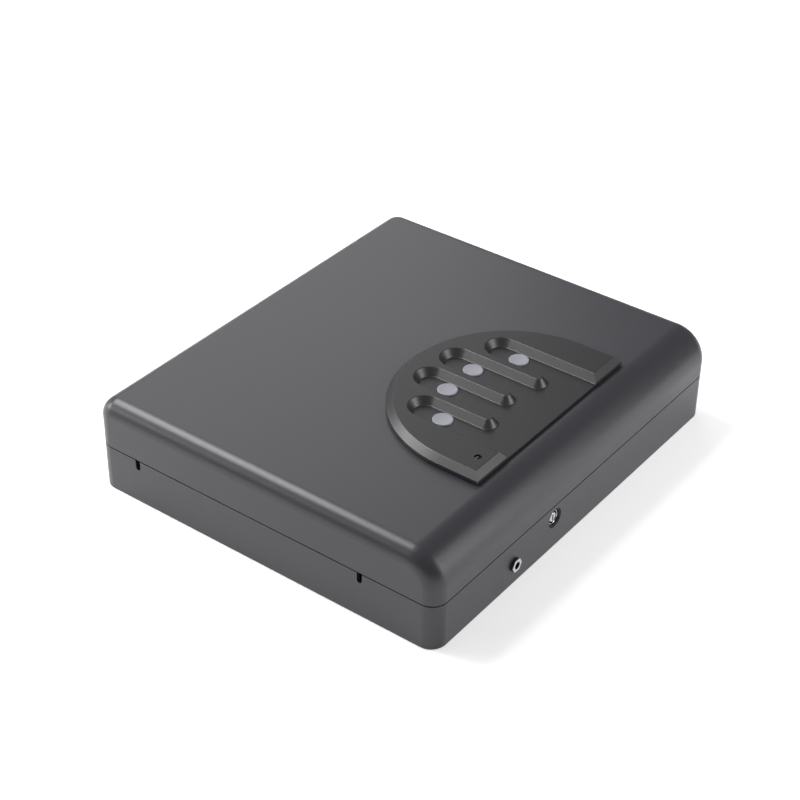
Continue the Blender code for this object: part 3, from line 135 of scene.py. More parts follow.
@dataclass(frozen=True)
class Finish:
    """A surface finish: one Principled shader with grain, mottle and bump of real sizes."""

    name: str
    colour: str
    roughness: float
    metallic: float = 0.0
    grain_mm: float = 0.5
    depth_mm: float = 0.01
    mottle_mm: float = 18.0
    # How far the tint pattern lifts and lowers the colour: random mottle on most finishes, painted shade in
    # the hollows on foam and winding.
    mottle: float = 0.06
    roughness_spread: float = 0.05
    stretch: tuple[float, float, float] = (1.0, 1.0, 1.0)

    def make(self) -> bpy.types.Material:
        """Return the finish's material."""
        made = bpy.data.materials.new(self.name)
        made.use_nodes = True
        tree = made.node_tree
        shader = tree.nodes["Principled BSDF"]
        shader.inputs["Metallic"].default_value = self.metallic
        place = add_node(tree, "ShaderNodeTexCoord", {}, {}).outputs["Object"]
        place = add_node(tree, "ShaderNodeMapping", {"Scale": self.stretch}, {"Vector": place})
        tint_pattern, heights = self.patterns(tree, place.outputs["Vector"])
        base = Vector(srgb(self.colour)[:3])
        shades = {6: (*(base * (1.0 - self.mottle)), 1.0), 7: (*(base * (1.0 + self.mottle)), 1.0)}
        tint = add_node(tree, "ShaderNodeMix", {"data_type": "RGBA", **shades}, {0: tint_pattern})
        spread = self.roughness_spread
        limits = {"To Min": self.roughness - spread, "To Max": self.roughness + spread}
        gloss = add_node(tree, "ShaderNodeMapRange", limits, {"Value": heights})
        bump = add_node(tree, "ShaderNodeBump", {"Distance": self.depth_mm * MM}, {"Height": heights})
        tree.links.new(tint.outputs[2], shader.inputs["Base Color"])
        tree.links.new(gloss.outputs["Result"], shader.inputs["Roughness"])
        tree.links.new(bump.outputs["Normal"], shader.inputs["Normal"])
        return made

    def patterns(self, tree: Tree, place: Socket) -> tuple[Socket, Socket]:
        """Add the pattern that tints the colour and the one that raises the surface.

        Args:
            tree: the material's node tree.
            place: object coordinates.

        Returns:
            The sockets of the tinting and of the raising pattern, each from 0 to 1.
        """
        cloud = {"Scale": 1.0 / (self.mottle_mm * MM), "Detail": 3.0}
        grain = {"Scale": 1.0 / (self.grain_mm * MM), "Detail": 2.0}
        tint_pattern = add_node(tree, "ShaderNodeTexNoise", cloud, {"Vector": place})
        grains = add_node(tree, "ShaderNodeTexNoise", grain, {"Vector": place})
        return tint_pattern.outputs["Fac"], grains.outputs["Fac"]


@dataclass(frozen=True)
class MouldedPlastic(Finish):
    """Plastic from a mould whose flanks come out shinier than the grained flat faces."""

    flat_shine: float = 0.5
    flank_shine: float = 1.1
    flank_starts: float = 0.93
    flank_is_full: float = 0.85

    def make(self) -> bpy.types.Material:
        """Return the finish's material, with more shine where the surface slopes."""
        made = super().make()
        tree = made.node_tree
        normal = add_node(tree, "ShaderNodeTexCoord", {}, {}).outputs["Normal"]
        upright = add_node(tree, "ShaderNodeSeparateXYZ", {}, {"Vector": normal}).outputs["Z"]
        limits = {"From Min": self.flank_is_full, "From Max": self.flank_starts,
                  "To Min": self.flank_shine, "To Max": self.flat_shine}
        shine = add_node(tree, "ShaderNodeMapRange", limits, {"Value": upright}).outputs["Result"]
        tree.links.new(shine, tree.nodes["Principled BSDF"].inputs["Specular IOR Level"])
        return made


@dataclass(frozen=True)
class PowderCoat(Finish):
    """Baked powder on steel: satin, with the slight orange peel of melted grains."""

    peel_mm: float = 1.6
    grain_share: float = 0.3

    def patterns(self, tree: Tree, place: Socket) -> tuple[Socket, Socket]:
        """Add a faint cloudiness, and orange peel with a finer grain on it.

        Args:
            tree: the material's node tree.
            place: object coordinates.

        Returns:
            The sockets of the tinting and of the raising pattern.
        """
        tint_pattern, grains = super().patterns(tree, place)
        peel = {"Scale": 1.0 / (self.peel_mm * MM), "Detail": 1.0}
        waves = add_node(tree, "ShaderNodeTexNoise", peel, {"Vector": place})
        links = {0: grains, 2: waves.outputs["Fac"]}
        both = add_node(tree, "ShaderNodeMath", {"operation": "MULTIPLY_ADD", 1: self.grain_share}, links)
        return tint_pattern, both.outputs[0]


@dataclass(frozen=True)
class OpenCellFoam(Finish):
    """Polyurethane foam: matt, full of pores about a millimetre wide."""

    def patterns(self, tree: Tree, place: Socket) -> tuple[Socket, Socket]:
        """Add pores that are deep, with painted shade that darkens each pore toward its bottom.

        Args:
            tree: the material's node tree.
            place: object coordinates.

        Returns:
            The socket of the pores, twice: once as painted shade, once as depth.
        """
        pore = {"Scale": 1.0 / (self.grain_mm * MM)}
        # One pore pattern sets the depth and the painted shade, so each pore is darker where it is deeper.
        pores = add_node(tree, "ShaderNodeTexVoronoi", pore, {"Vector": place}).outputs["Distance"]
        return pores, pores


@dataclass(frozen=True)
class WoundWire(Finish):
    """Enamelled copper wire wound side by side: a fine ridge for each turn, with painted shade between the
    turns and painted light on their crests.
    """

    def patterns(self, tree: Tree, place: Socket) -> tuple[Socket, Socket]:
        """Add one ridge for each turn along X, painted darker in its hollows and lighter on its crest.

        Args:
            tree: the material's node tree.
            place: object coordinates.

        Returns:
            The socket of the turns, twice: once as painted shade and light, once as height.
        """
        wire = {"Scale": math.pi / (10.0 * self.grain_mm * MM), "bands_direction": "X"}
        turns = add_node(tree, "ShaderNodeTexWave", wire, {"Vector": place}).outputs["Fac"]
        # One wave sets the height and the painted shade and light, so the hollows come out darker and the
        # crests lighter.
        return turns, turns


class Slot(Enum):
    """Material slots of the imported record."""

    POWDER = "powder_coat"
    DARK_POWDER = "dark_powder_coat"
    KEYPAD = "keypad_plastic"
    BUTTON = "button_plastic"
    ZINC = "zinc_plate"
    CHROME = "chrome_plate"
    BLACK = "black_plastic"
    RUBBER = "rubber_seal"
    LENS = "lens"
    BOARD = "circuit_board"
    FOAM = "foam"
    WINDING = "coil_winding"
    SLEEVE = "cell_sleeve"


# Graphite polyester powder on pressed steel: satin, so it shows soft bands of light round each fold.
POWDER_COAT = PowderCoat(Slot.POWDER.value, "#37373C", 0.34, grain_mm=0.45, depth_mm=0.02,
                         mottle_mm=35.0, mottle=0.05, roughness_spread=0.05)
# Matt black powder on the inner steel pieces: rougher, so it stays plain when the lid is open.
DARK_POWDER = PowderCoat(Slot.DARK_POWDER.value, "#232326", 0.5, grain_mm=0.4, depth_mm=0.02,
                         mottle_mm=30.0, mottle=0.08, roughness_spread=0.06)
# ABS moulding: satin grain on its flat faces, a shine on its flanks, so each ridge has a bright side.
KEYPAD_ABS = MouldedPlastic(Slot.KEYPAD.value, "#1E1D20", 0.4, grain_mm=0.35, depth_mm=0.006,
                            mottle_mm=12.0, mottle=0.04)
# Light grey ABS button caps: matt with a faint grain.
BUTTON_ABS = Finish(Slot.BUTTON.value, "#92929B", 0.42, grain_mm=0.3, depth_mm=0.008,
                    mottle_mm=6.0, mottle=0.03)
# Zinc plate on drawn steel: bright, slightly cloudy, with faint lines from rolling.
ZINC_PLATE = Finish(Slot.ZINC.value, "#B9BABC", 0.32, 1.0, grain_mm=0.25, depth_mm=0.004,
                    mottle_mm=5.0, mottle=0.1, roughness_spread=0.1, stretch=(0.15, 1.0, 1.0))
# Chrome plate on turned brass: mirror bright with the finest turning marks.
CHROME_PLATE = Finish(Slot.CHROME.value, "#D6D7DA", 0.14, 1.0, grain_mm=0.2, depth_mm=0.002,
                      mottle_mm=3.0, mottle=0.04, roughness_spread=0.06)
# Black nylon: moulded, semi-matt.
BLACK_NYLON = Finish(Slot.BLACK.value, "#121214", 0.45, grain_mm=0.3, depth_mm=0.01,
                     mottle_mm=8.0, mottle=0.1)
# Foam rubber seal: dead matt.
SEAL_RUBBER = Finish(Slot.RUBBER.value, "#0E0E0F", 0.85, grain_mm=0.4, depth_mm=0.03,
                     mottle_mm=4.0, mottle=0.2)
# Smoked acrylic lens over an unlit red light.
SMOKED_LENS = Finish(Slot.LENS.value, "#1C0A0B", 0.12, grain_mm=0.6, depth_mm=0.001,
                     mottle_mm=2.0, mottle=0.1, roughness_spread=0.03)
# Solder-masked glass fibre board: glossy green over a faint weave.
BOARD_LAMINATE = Finish(Slot.BOARD.value, "#1E5A36", 0.3, grain_mm=0.5, depth_mm=0.01,
                        mottle_mm=5.0, mottle=0.12)
# Charcoal polyurethane foam, with painted shade in its pores: the mottle value sets how much darker their
# bottoms are.
GREY_FOAM = OpenCellFoam(Slot.FOAM.value, "#45454A", 0.93, grain_mm=1.1, depth_mm=0.35, mottle=0.45)
# Enamelled copper winding, with painted shade between its turns and painted light on their crests: the
# mottle value sets how strong.
COPPER_WIRE = WoundWire(Slot.WINDING.value, "#B06A38", 0.35, 0.9, grain_mm=0.6, depth_mm=0.24, mottle=0.25)
# Shrunk PVC sleeve on a cell: glossy with slight waviness.
CELL_SLEEVE = Finish(Slot.SLEEVE.value, "#7C7F86", 0.28, grain_mm=2.5, depth_mm=0.02,
                     mottle_mm=9.0, mottle=0.05)

ALL_FINISHES = (POWDER_COAT, DARK_POWDER, KEYPAD_ABS, BUTTON_ABS, ZINC_PLATE, CHROME_PLATE, BLACK_NYLON,
                SEAL_RUBBER, SMOKED_LENS, BOARD_LAMINATE, GREY_FOAM, COPPER_WIRE, CELL_SLEEVE)


@dataclass
class Workshop:
    """Keeps the materials and turns shapes into finished pieces."""

    materials: dict[str, bpy.types.Material] = field(default_factory=dict)

    def __post_init__(self) -> None:
        """Make every finish and give the carried-over nodes theirs."""
        for item in ALL_FINISHES:
            self.materials[item.name] = item.make()
        for row in frame["record"]["subparts"]:
            node = frame["nodes"][row["node"]]
            node.data.materials.clear()
            node.data.materials.append(self.materials[row["material_slot"]])

    def piece(self, name: str, shape: Shape, slot: Slot, body: str,
              stands_for: Sequence[str] = (), sharp: float = 35.0) -> bpy.types.Object:
        """Turn a shape in world metres into a finished piece on a body.

        Args:
            name: the piece's name.
            shape: the shape, which is used up.
            slot: the record's material slot.
            body: the body that the piece rides on.
            stands_for: construction nodes that the piece replaces.
            sharp: edges above this angle, in degrees, stay sharp.

        Returns:
            The new object.
        """
        item = object_of(name, shape)
        mesh = item.data
        mesh.shade_smooth()
        mesh.set_sharp_from_angle(angle=math.radians(sharp))
        mesh.materials.append(self.materials[slot.value])
        item.modifiers.new("even_shading", "WEIGHTED_NORMAL").keep_sharp = True
        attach(item, body)
        if stands_for:
            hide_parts(*stands_for)
        LOG.info("%s rides on %s with %d faces", name, body, len(mesh.polygons))
        return item


def centre_of(node: str, axis: Axis) -> Flat:
    """Return the middle of a construction node's box, seen along an axis.

    Args:
        node: the node's name.
        axis: the axis to look along.

    Returns:
        The pair (Y, Z), (X, Z) or (X, Y) for X, Y or Z.
    """
    low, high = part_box(node)
    first, second = {Axis.X: (1, 2), Axis.Y: (0, 2), Axis.Z: (0, 1)}[axis]
    return ((low[first] + high[first]) / 2, (low[second] + high[second]) / 2)


def object_of(name: str, shape: Shape) -> bpy.types.Object:
    """Put a shape in the scene.

    Args:
        name: the object's name.
        shape: the shape, which is used up.

    Returns:
        The new object.
    """
    mesh = bpy.data.meshes.new(name)
    shape.to_mesh(mesh)
    shape.free()
    item = bpy.data.objects.new(name, mesh)
    bpy.context.scene.collection.objects.link(item)
    return item


def take_back(item: bpy.types.Object, *helpers: bpy.types.Object) -> Shape:
    """Return an object's shape as its modifiers make it, and clear it away.

    Args:
        item: the object, which is removed.
        helpers: objects that its modifiers use, which are removed too.

    Returns:
        The new shape.
    """
    bpy.context.view_layer.update()
    result = bmesh.new()
    result.from_object(item, bpy.context.evaluated_depsgraph_get())
    for used in (item, *helpers):
        mesh = used.data
        bpy.data.objects.remove(used)
        bpy.data.meshes.remove(mesh)
    return result


def carve(shape: Shape, tool: Shape) -> Shape:
    """Cut one shape out of another.

    Args:
        shape: the shape to change, which is used up.
        tool: the shape to take away, which is used up.

    Returns:
        The new shape.
    """
    blank = object_of("blank", shape)
    cutter = object_of("tool", tool)
    change = blank.modifiers.new("carve", "BOOLEAN")
    change.operation = "DIFFERENCE"
    change.object = cutter
    change.solver = "EXACT"
    result = take_back(blank, cutter)
    bmesh.ops.remove_doubles(result, verts=result.verts, dist=WELD)
    return result


def arc(centre: Flat, radius: float, start: float, end: float, steps: int) -> list[Flat]:
    """Return points along a flat arc.

    Args:
        centre: the arc's centre.
        radius: its radius.
        start: first angle in degrees.
        end: last angle in degrees.
        steps: how many chords it has.

    Returns:
        The points, both ends included.
    """
    points = []
    for step in range(steps + 1):
        angle = math.radians(start + (end - start) * step / steps)
        points.append((centre[0] + radius * math.cos(angle), centre[1] + radius * math.sin(angle)))
    return points


def quarter(reach: float, rise: float, angles: Sequence[float]) -> list[Flat]:
    """Return points along a quarter of an ellipse that stands on the origin.

    Args:
        reach: its half width.
        rise: its height.
        angles: the points' angles above the ground, in degrees.

    Returns:
        The points.
    """
    turns = [math.radians(angle) for angle in angles]
    return [(reach * math.cos(turn), rise * math.sin(turn)) for turn in turns]


def ring_of(shape: Shape, points: Sequence[Vector]) -> list[bmesh.types.BMEdge]:
    """Add a closed ring of edges.

    Args:
        shape: the shape that gets the ring.
        points: the ring's corners in world metres.

    Returns:
        The ring's edges.
    """
    verts = [shape.verts.new(point) for point in points]
    return [shape.edges.new((vert, verts[(index + 1) % len(verts)])) for index, vert in enumerate(verts)]


def bridge(shape: Shape, rings: Sequence[Sequence[Vector]]) -> Shape:
    """Skin closed rings one after another and cap both ends.

    Args:
        shape: the shape that gets the skin.
        rings: the rings' corners in world metres, equal in number.

    Returns:
        The shape, closed, with its faces pointing out.
    """
    loops = [ring_of(shape, ring) for ring in rings]
    for first, second in zip(loops, loops[1:]):
        bmesh.ops.bridge_loops(shape, edges=first + second)
    bmesh.ops.contextual_create(shape, geom=loops[0])
    bmesh.ops.contextual_create(shape, geom=loops[-1])
    bmesh.ops.recalc_face_normals(shape, faces=shape.faces)
    return shape


def prism(shape: Shape, outline: Sequence[Flat], axis: Axis, low: float, high: float) -> Shape:
    """Extrude a flat outline along an axis.

    Args:
        shape: the shape that gets the prism.
        outline: the flat outline.
        axis: the direction of the extrusion.
        low: where it starts.
        high: where it ends.

    Returns:
        The shape.
    """
    loop = ring_of(shape, [axis.place(point, low) for point in outline])
    face = bmesh.ops.contextual_create(shape, geom=loop)["faces"]
    grown = bmesh.ops.extrude_face_region(shape, geom=face, use_keep_orig=True)
    verts = [item for item in grown["geom"] if isinstance(item, bmesh.types.BMVert)]
    bmesh.ops.translate(shape, verts=verts, vec=axis.value * (high - low))
    bmesh.ops.recalc_face_normals(shape, faces=shape.faces)
    return shape


def block(shape: Shape, low: Sequence[float], high: Sequence[float]) -> Shape:
    """Add an upright box.

    Args:
        shape: the shape that gets the box.
        low: its lowest corner.
        high: its highest corner.

    Returns:
        The shape.
    """
    size = Vector(high) - Vector(low)
    middle = (Vector(high) + Vector(low)) / 2
    place = Matrix.Translation(middle) @ Matrix.Diagonal((*size, 1.0))
    bmesh.ops.create_cube(shape, size=1.0, matrix=place)
    return shape


def turned(profile: Sequence[Flat], centre: Flat, axis: Axis, steps: int = 64) -> Shape:
    """Revolve an open profile of (radius, height) about an axis.

    Args:
        profile: the profile's points; ends off the axis are joined to each other.
        centre: where the axis stands.
        axis: the direction of the axis.
        steps: how many steps a full turn has.

    Returns:
        The closed shape.
    """
    shape = bmesh.new()
    points = [axis.place((centre[0] + radius, centre[1]), height) for radius, height in profile]
    verts = [shape.verts.new(point) for point in points]
    edges = [shape.edges.new(pair) for pair in zip(verts, verts[1:])]
    if profile[0][0] > WELD and profile[-1][0] > WELD:
        edges.append(shape.edges.new((verts[-1], verts[0])))
    bmesh.ops.spin(shape, geom=verts + edges, cent=axis.place(centre, 0.0), axis=axis.value,
                   angle=math.tau, steps=steps, use_merge=True)
    bmesh.ops.remove_doubles(shape, verts=shape.verts, dist=1e-7)
    bmesh.ops.recalc_face_normals(shape, faces=shape.faces)
    return shape


def rod(shape: Shape, centre: Flat, axis: Axis, low: float, high: float, radius: float,
        steps: int = 48) -> Shape:
    """Add a round rod along an axis.

    Args:
        shape: the shape that gets the rod.
        centre: the rod's flat centre.
        axis: its direction.
        low: where it starts.
        high: where it ends.
        radius: its radius.
        steps: how many sides it has.

    Returns:
        The shape.
    """
    return prism(shape, arc(centre, radius, 0.0, 360.0, steps)[:-1], axis, low, high)


def round_off(shape: Shape, edges: Sequence[bmesh.types.BMEdge], radius: float, segments: int) -> None:
    """Round some edges.

    Args:
        shape: the shape.
        edges: the edges to round.
        radius: the fillet's radius.
        segments: how many facets it has.
    """
    bmesh.ops.bevel(shape, geom=list(edges), offset=radius, offset_type="OFFSET", segments=segments,
                    profile=0.5, affect="EDGES", material=-1, clamp_overlap=False)


def break_edges(shape: Shape, radius: float) -> Shape:
    """Round every edge sharper than 40 degrees a little, as paint or a mould does.

    Args:
        shape: the shape.
        radius: the rounding.

    Returns:
        The shape.
    """
    limit = math.radians(40.0)
    sharp = [edge for edge in shape.edges if edge.is_manifold and edge.calc_face_angle(0.0) > limit]
    bmesh.ops.bevel(shape, geom=sharp, offset=radius, offset_type="OFFSET", segments=2, profile=0.5,
                    affect="EDGES", material=-1, clamp_overlap=True)
    return shape


def copy_of(node: str) -> Shape:
    """Return a construction node's shape with its facets merged into plain faces.

    Args:
        node: the node's name.

    Returns:
        A new shape.
    """
    shape = bmesh.new()
    shape.from_mesh(frame["nodes"][node].data)
    bmesh.ops.remove_doubles(shape, verts=shape.verts, dist=WELD)
    bmesh.ops.dissolve_limit(shape, angle_limit=math.radians(0.5), verts=shape.verts, edges=shape.edges)
    return shape


def on_value(verts: Sequence[bmesh.types.BMVert], index: int, value: float) -> bool:
    """Say whether all verts lie at one value of a coordinate, within a hundredth of a millimetre."""
    return all(abs(vert.co[index] - value) < 0.01 * MM for vert in verts)


@dataclass
class SteelBody:
    """Pressed tray and lid, the strip between them and the two hinges."""

    shop: Workshop
    corner: float = 0.0105
    lid_front: float = 0.022
    lid_rear: float = 0.012
    tray_edge: float = 0.0008
    paint_edge: float = 0.00025
    rim_edge: float = 0.0002
    leaf_edge: float = 0.00012
    pin_dome: float = 0.35
    slot_half: float = 0.00175
    slot_low: float = 0.0247
    slot_y: tuple[float, float] = (-0.075, 0.0955)
    bolt_hole: float = 0.00325
    bolt_x: tuple[float, float] = (-0.110, 0.110)
    bolt_y: tuple[float, float] = (-0.070, 0.095)
    knuckle: float = 0.0028
    notch_gap: float = 0.0004

    def build(self) -> None:
        """Make every piece of the body."""
        self.build_lid()
        self.build_tray()
        self.build_rim()
        self.build_hinges()

    def hollow(self, shape: Shape) -> Shape:
        """Give an open skin the sheet's thickness, inwards.

        Args:
            shape: the outer skin, which is used up.

        Returns:
            The sheet metal shell.
        """
        item = object_of("skin", shape)
        wall = item.modifiers.new("wall", "SOLIDIFY")
        wall.thickness = SHEET
        wall.offset = -1.0
        wall.use_even_offset = True
        return take_back(item)

    def notches(self, shape: Shape, low: float, high: float) -> Shape:
        """Add the cutters that let the hinge leaves through a rear wall.

        Args:
            shape: the shape that gets the cutters.
            low: their lower side.
            high: their upper side.

        Returns:
            The shape.
        """
        gap = self.notch_gap
        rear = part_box("base_tray")[1].y
        for side in ("left", "right"):
            leaf_low, leaf_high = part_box(f"hinge_leaf_base_{side}")
            block(shape, (leaf_low.x - gap, rear - 2 * OVER, low), (leaf_high.x + gap, rear + OVER, high))
        return shape

    def build_lid(self) -> None:
        """Press the lid: front and rear rolls, side fillets, keypad window, hinge notches."""
        low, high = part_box("lid_shell")
        shape = block(bmesh.new(), low, high)
        for end, radius, segments in ((low.y, self.lid_front, 24), (high.y, self.lid_rear, 16)):
            edges = [
                edge for edge in shape.edges
                if on_value(edge.verts, 1, end) and on_value(edge.verts, 2, high.z)
            ]
            round_off(shape, edges, radius, segments)
        sides = []
        for edge in shape.edges:
            at_side = on_value(edge.verts, 0, low.x) or on_value(edge.verts, 0, high.x)
            if at_side and not on_value(edge.verts, 2, low.z):
                sides.append(edge)
        round_off(shape, sides, self.corner, segments=14)
        under = [face for face in shape.faces if on_value(face.verts, 2, low.z)]
        bmesh.ops.delete(shape, geom=under, context="FACES_ONLY")
        shell = self.hollow(shape)
        tool = prism(bmesh.new(), Keypad.outline(Keypad.boss_inset - Keypad.window_gap), Axis.Z,
                     high.z - SHEET - OVER, high.z + OVER)
        self.notches(tool, low.z - OVER, self.hinge_height() + self.knuckle + self.notch_gap)
        shell = carve(shell, tool)
        break_edges(shell, self.paint_edge)
        self.shop.piece("lid_steel", shell, Slot.POWDER, "lid", ["lid_shell"])

    def hinge_height(self) -> float:
        """Return the height of the hinge pins' axis."""
        return centre_of("hinge_pin_left", Axis.X)[1]

    def build_tray(self) -> None:
        """Press the tray: round corners, cable slots, lock and jack holes, bolt-down holes."""
        low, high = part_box("base_tray")
        shape = block(bmesh.new(), low, high)
        upright = [
            edge for edge in shape.edges if abs(edge.verts[0].co.z - edge.verts[1].co.z) > self.corner
        ]
        round_off(shape, upright, self.corner, segments=14)
        foot = [edge for edge in shape.edges if on_value(edge.verts, 2, low.z)]
        round_off(shape, foot, self.tray_edge, segments=3)
        open_top = [face for face in shape.faces if on_value(face.verts, 2, high.z)]
        bmesh.ops.delete(shape, geom=open_top, context="FACES_ONLY")
        shell = self.hollow(shape)
        tool = bmesh.new()
        self.cable_slots(tool, low.x - OVER, low.x + SHEET + OVER)
        for fitting in (KeyLock, PowerJack):
            place = centre_of(fitting.middle_node, Axis.Y)
            rod(tool, place, Axis.Y, low.y - OVER, low.y + SHEET + OVER, fitting.hole_radius)
        for hole_x in self.bolt_x:
            for hole_y in self.bolt_y:
                rod(tool, (hole_x, hole_y), Axis.Z, low.z - OVER, low.z + SHEET + OVER, self.bolt_hole)
        self.notches(tool, self.hinge_height() - self.knuckle - self.notch_gap, high.z + OVER)
        shell = carve(shell, tool)
        break_edges(shell, self.paint_edge)
        self.shop.piece("tray_steel", shell, Slot.POWDER, "base", ["base_tray"])

    def cable_slots(self, shape: Shape, low_x: float, high_x: float) -> Shape:
        """Add round-bottomed slot cutters across the left wall.

        Args:
            shape: the shape that gets the cutters.
            low_x: where they start.
            high_x: where they end.

        Returns:
            The shape.
        """
        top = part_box("inner_rim")[1].z + OVER
        for middle in self.slot_y:
            outline = [(middle + self.slot_half, top), (middle - self.slot_half, top)]
            outline += arc((middle, self.slot_low + self.slot_half), self.slot_half, 180.0, 360.0, 16)
            prism(shape, outline, Axis.X, low_x, high_x)
        return shape

    def build_rim(self) -> None:
        """Round the strip's edges."""
        shape = break_edges(copy_of("inner_rim"), self.rim_edge)
        self.shop.piece("rim_strip", shape, Slot.DARK_POWDER, "base", ["inner_rim"])

    def build_hinges(self) -> None:
        """Round the edges of the leaves and dome the pins' ends."""
        for side in ("left", "right"):
            for body in ("base", "lid"):
                node = f"hinge_leaf_{body}_{side}"
                shape = break_edges(copy_of(node), self.leaf_edge)
                self.shop.piece(f"{node}_plate", shape, Slot.ZINC, body, [node])
            pin = f"hinge_pin_{side}"
            low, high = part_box(pin)
            radius = (high.z - low.z) / 2
            dome = quarter(radius, radius * self.pin_dome, (90.0, 67.5, 45.0, 22.5, 0.0))
            near = [(reach, low.x + radius * self.pin_dome - rise) for reach, rise in dome]
            far = [(reach, low.x + high.x - height) for reach, height in reversed(near)]
            shape = turned(near + far, centre_of(pin, Axis.X), Axis.X, 32)
            self.shop.piece(f"{pin}_domed", shape, Slot.ZINC, "base", [pin])


@dataclass
class Keypad:
    """Hand-shaped keypad moulding, its buttons and its status light."""

    shop: Workshop
    radius: float = 0.0785
    centre_y: float = -0.0775
    front_y: float = -0.1042
    chamfer: float = 0.0041
    under: float = 0.0647
    floor: float = 0.066
    rim: float = 0.067
    top: float = 0.0708
    boss_low: float = 0.062
    pitch: float = 0.027
    floor_half: float = 0.0072
    wall_run: float = 0.0037
    far_y: tuple[float, ...] = (-0.0395, -0.024, -0.024, -0.0395)
    nose_y: tuple[float, ...] = (-0.0757, -0.07, -0.0757)
    top_round: float = 0.0007
    floor_round: float = 0.0009
    hand_over: float = 0.006
    above_top: float = 0.0005
    button_y: tuple[float, ...] = (-0.0525, -0.0365, -0.0365, -0.0525)
    button_bore: float = 0.0068
    cap: float = 0.0065
    cap_edge: float = 0.0006
    cap_dish: float = 0.00035
    dish_steps: int = 8
    flange_thick: float = 0.0012
    light_bore: float = 0.00225
    light_dome: float = 0.0006
    boss_inset: float = 0.006
    window_gap: float = 0.0006

    @classmethod
    def outline(cls, inset: float) -> list[Flat]:
        """Return the moulding's D outline.

        Args:
            inset: how far its sides are set in.

        Returns:
            The flat outline.
        """
        radius = cls.radius - inset
        front = cls.front_y + inset
        points = [(radius, front)]
        points += arc((0.0, cls.centre_y), radius, 0.0, 180.0, 96)
        points.append((-radius, front))
        return points

    def build(self) -> None:
        """Make the moulding, the buttons and the light."""
        self.build_panel()
        self.build_buttons()
        self.build_light()

    def grooves_x(self) -> list[float]:
        """Return the four grooves' middles."""
        return [self.pitch * step for step in (-1.5, -0.5, 0.5, 1.5)]

    def hand(self, half: float) -> list[Flat]:
        """Return the outline of the four grooves and the palm at one depth.

        Args:
            half: the grooves' half width there.

        Returns:
            The flat outline.
        """
        start_y = self.front_y - self.hand_over
        middles = self.grooves_x()
        points = [(middles[0] - half, start_y)]
        for index, middle in enumerate(middles):
            points += arc((middle, self.far_y[index]), half, 180.0, 0.0, 28)
            if index < len(self.nose_y):
                ridge = middle + self.pitch / 2
                points += arc((ridge, self.nose_y[index]), self.pitch / 2 - half, 180.0, 360.0, 16)
        points.append((middles[-1] + half, start_y))
        return points

    def wall_profile(self) -> list[Flat]:
        """Return (half width, height) pairs up a groove's wall, rounded at its foot and its top."""
        rise = self.top - self.floor
        slope = math.degrees(math.atan2(rise, self.wall_run))
        foot_reach = self.floor_round * math.tan(math.radians(slope / 2))
        top_reach = self.top_round * math.tan(math.radians(slope / 2))
        foot = arc((self.floor_half - foot_reach, self.floor + self.floor_round), self.floor_round,
                   -90.0, slope - 90.0, 5)
        crest_x = self.floor_half + self.wall_run + top_reach
        crest = arc((crest_x, self.top - self.top_round), self.top_round, 90.0 + slope, 90.0, 5)
        return foot + crest + [(crest_x, self.top + self.above_top)]

    def plate_profile(self) -> list[Flat]:
        """Return (inset, height) pairs up the plate's rim, rounded at the top."""
        rise = self.top - self.rim
        slope = math.degrees(math.atan2(rise, self.chamfer))
        reach = self.top_round * math.tan(math.radians(slope / 2))
        middle = (self.chamfer + reach, self.top - self.top_round)
        return [(0.0, self.under), (0.0, self.rim)] + arc(middle, self.top_round, 90.0 + slope, 90.0, 4)

    def build_panel(self) -> None:
        """Mould the D plate on its boss, press the hand into it and drill its holes."""
        boss = [(self.boss_inset, self.boss_low), (self.boss_inset, self.under)]
        shape = bridge(bmesh.new(), [
            [Axis.Z.place(point, height) for point in self.outline(inset)]
            for inset, height in boss + self.plate_profile()
        ])
        hand = bridge(bmesh.new(), [
            [Axis.Z.place(point, height) for point in self.hand(half)]
            for half, height in self.wall_profile()
        ])
        shape = carve(shape, hand)
        holes = bmesh.new()
        for place in zip(self.grooves_x(), self.button_y):
            rod(holes, place, Axis.Z, self.boss_low - OVER, self.floor + OVER, self.button_bore, 64)
        light = centre_of("status_lens", Axis.Z)
        rod(holes, light, Axis.Z, self.boss_low - OVER, self.top + OVER, self.light_bore, 32)
        shape = carve(shape, holes)
        self.shop.piece("keypad_moulding", shape, Slot.KEYPAD, "lid", ["keypad_panel"], sharp=28.0)

    def build_buttons(self) -> None:
        """Turn four dished caps with a holding flange."""
        for number in range(1, 5):
            node = f"keypad_button_{number}"
            low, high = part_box(node)
            flange = (high.x - low.x) / 2
            step_z = low.z + self.flange_thick
            inner = self.cap - self.cap_edge
            profile = [(0.0, low.z), (flange, low.z), (flange, step_z), (self.cap, step_z)]
            profile += arc((inner, high.z - self.cap_edge), self.cap_edge, 0.0, 90.0, 6)
            for step in range(1, self.dish_steps + 1):
                share = step / self.dish_steps
                sunk = self.cap_dish * math.sin(share * math.pi / 2)
                profile.append((inner * (1.0 - share), high.z - sunk))
            shape = turned(profile, centre_of(node, Axis.Z), Axis.Z)
            self.shop.piece(f"button_cap_{number}", shape, Slot.BUTTON, f"button_{number}", [node])

    def build_light(self) -> None:
        """Turn the status light's domed lens."""
        low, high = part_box("status_lens")
        radius = (high.x - low.x) / 2
        dome = quarter(radius, self.light_dome, (0.0, 20.0, 40.0, 60.0, 80.0, 90.0))
        profile = [(0.0, low.z), (radius, low.z)]
        profile += [(reach, high.z - self.light_dome + rise) for reach, rise in dome]
        shape = turned(profile, centre_of("status_lens", Axis.Z), Axis.Z, 32)
        self.shop.piece("status_light", shape, Slot.LENS, "lid", ["status_lens"])


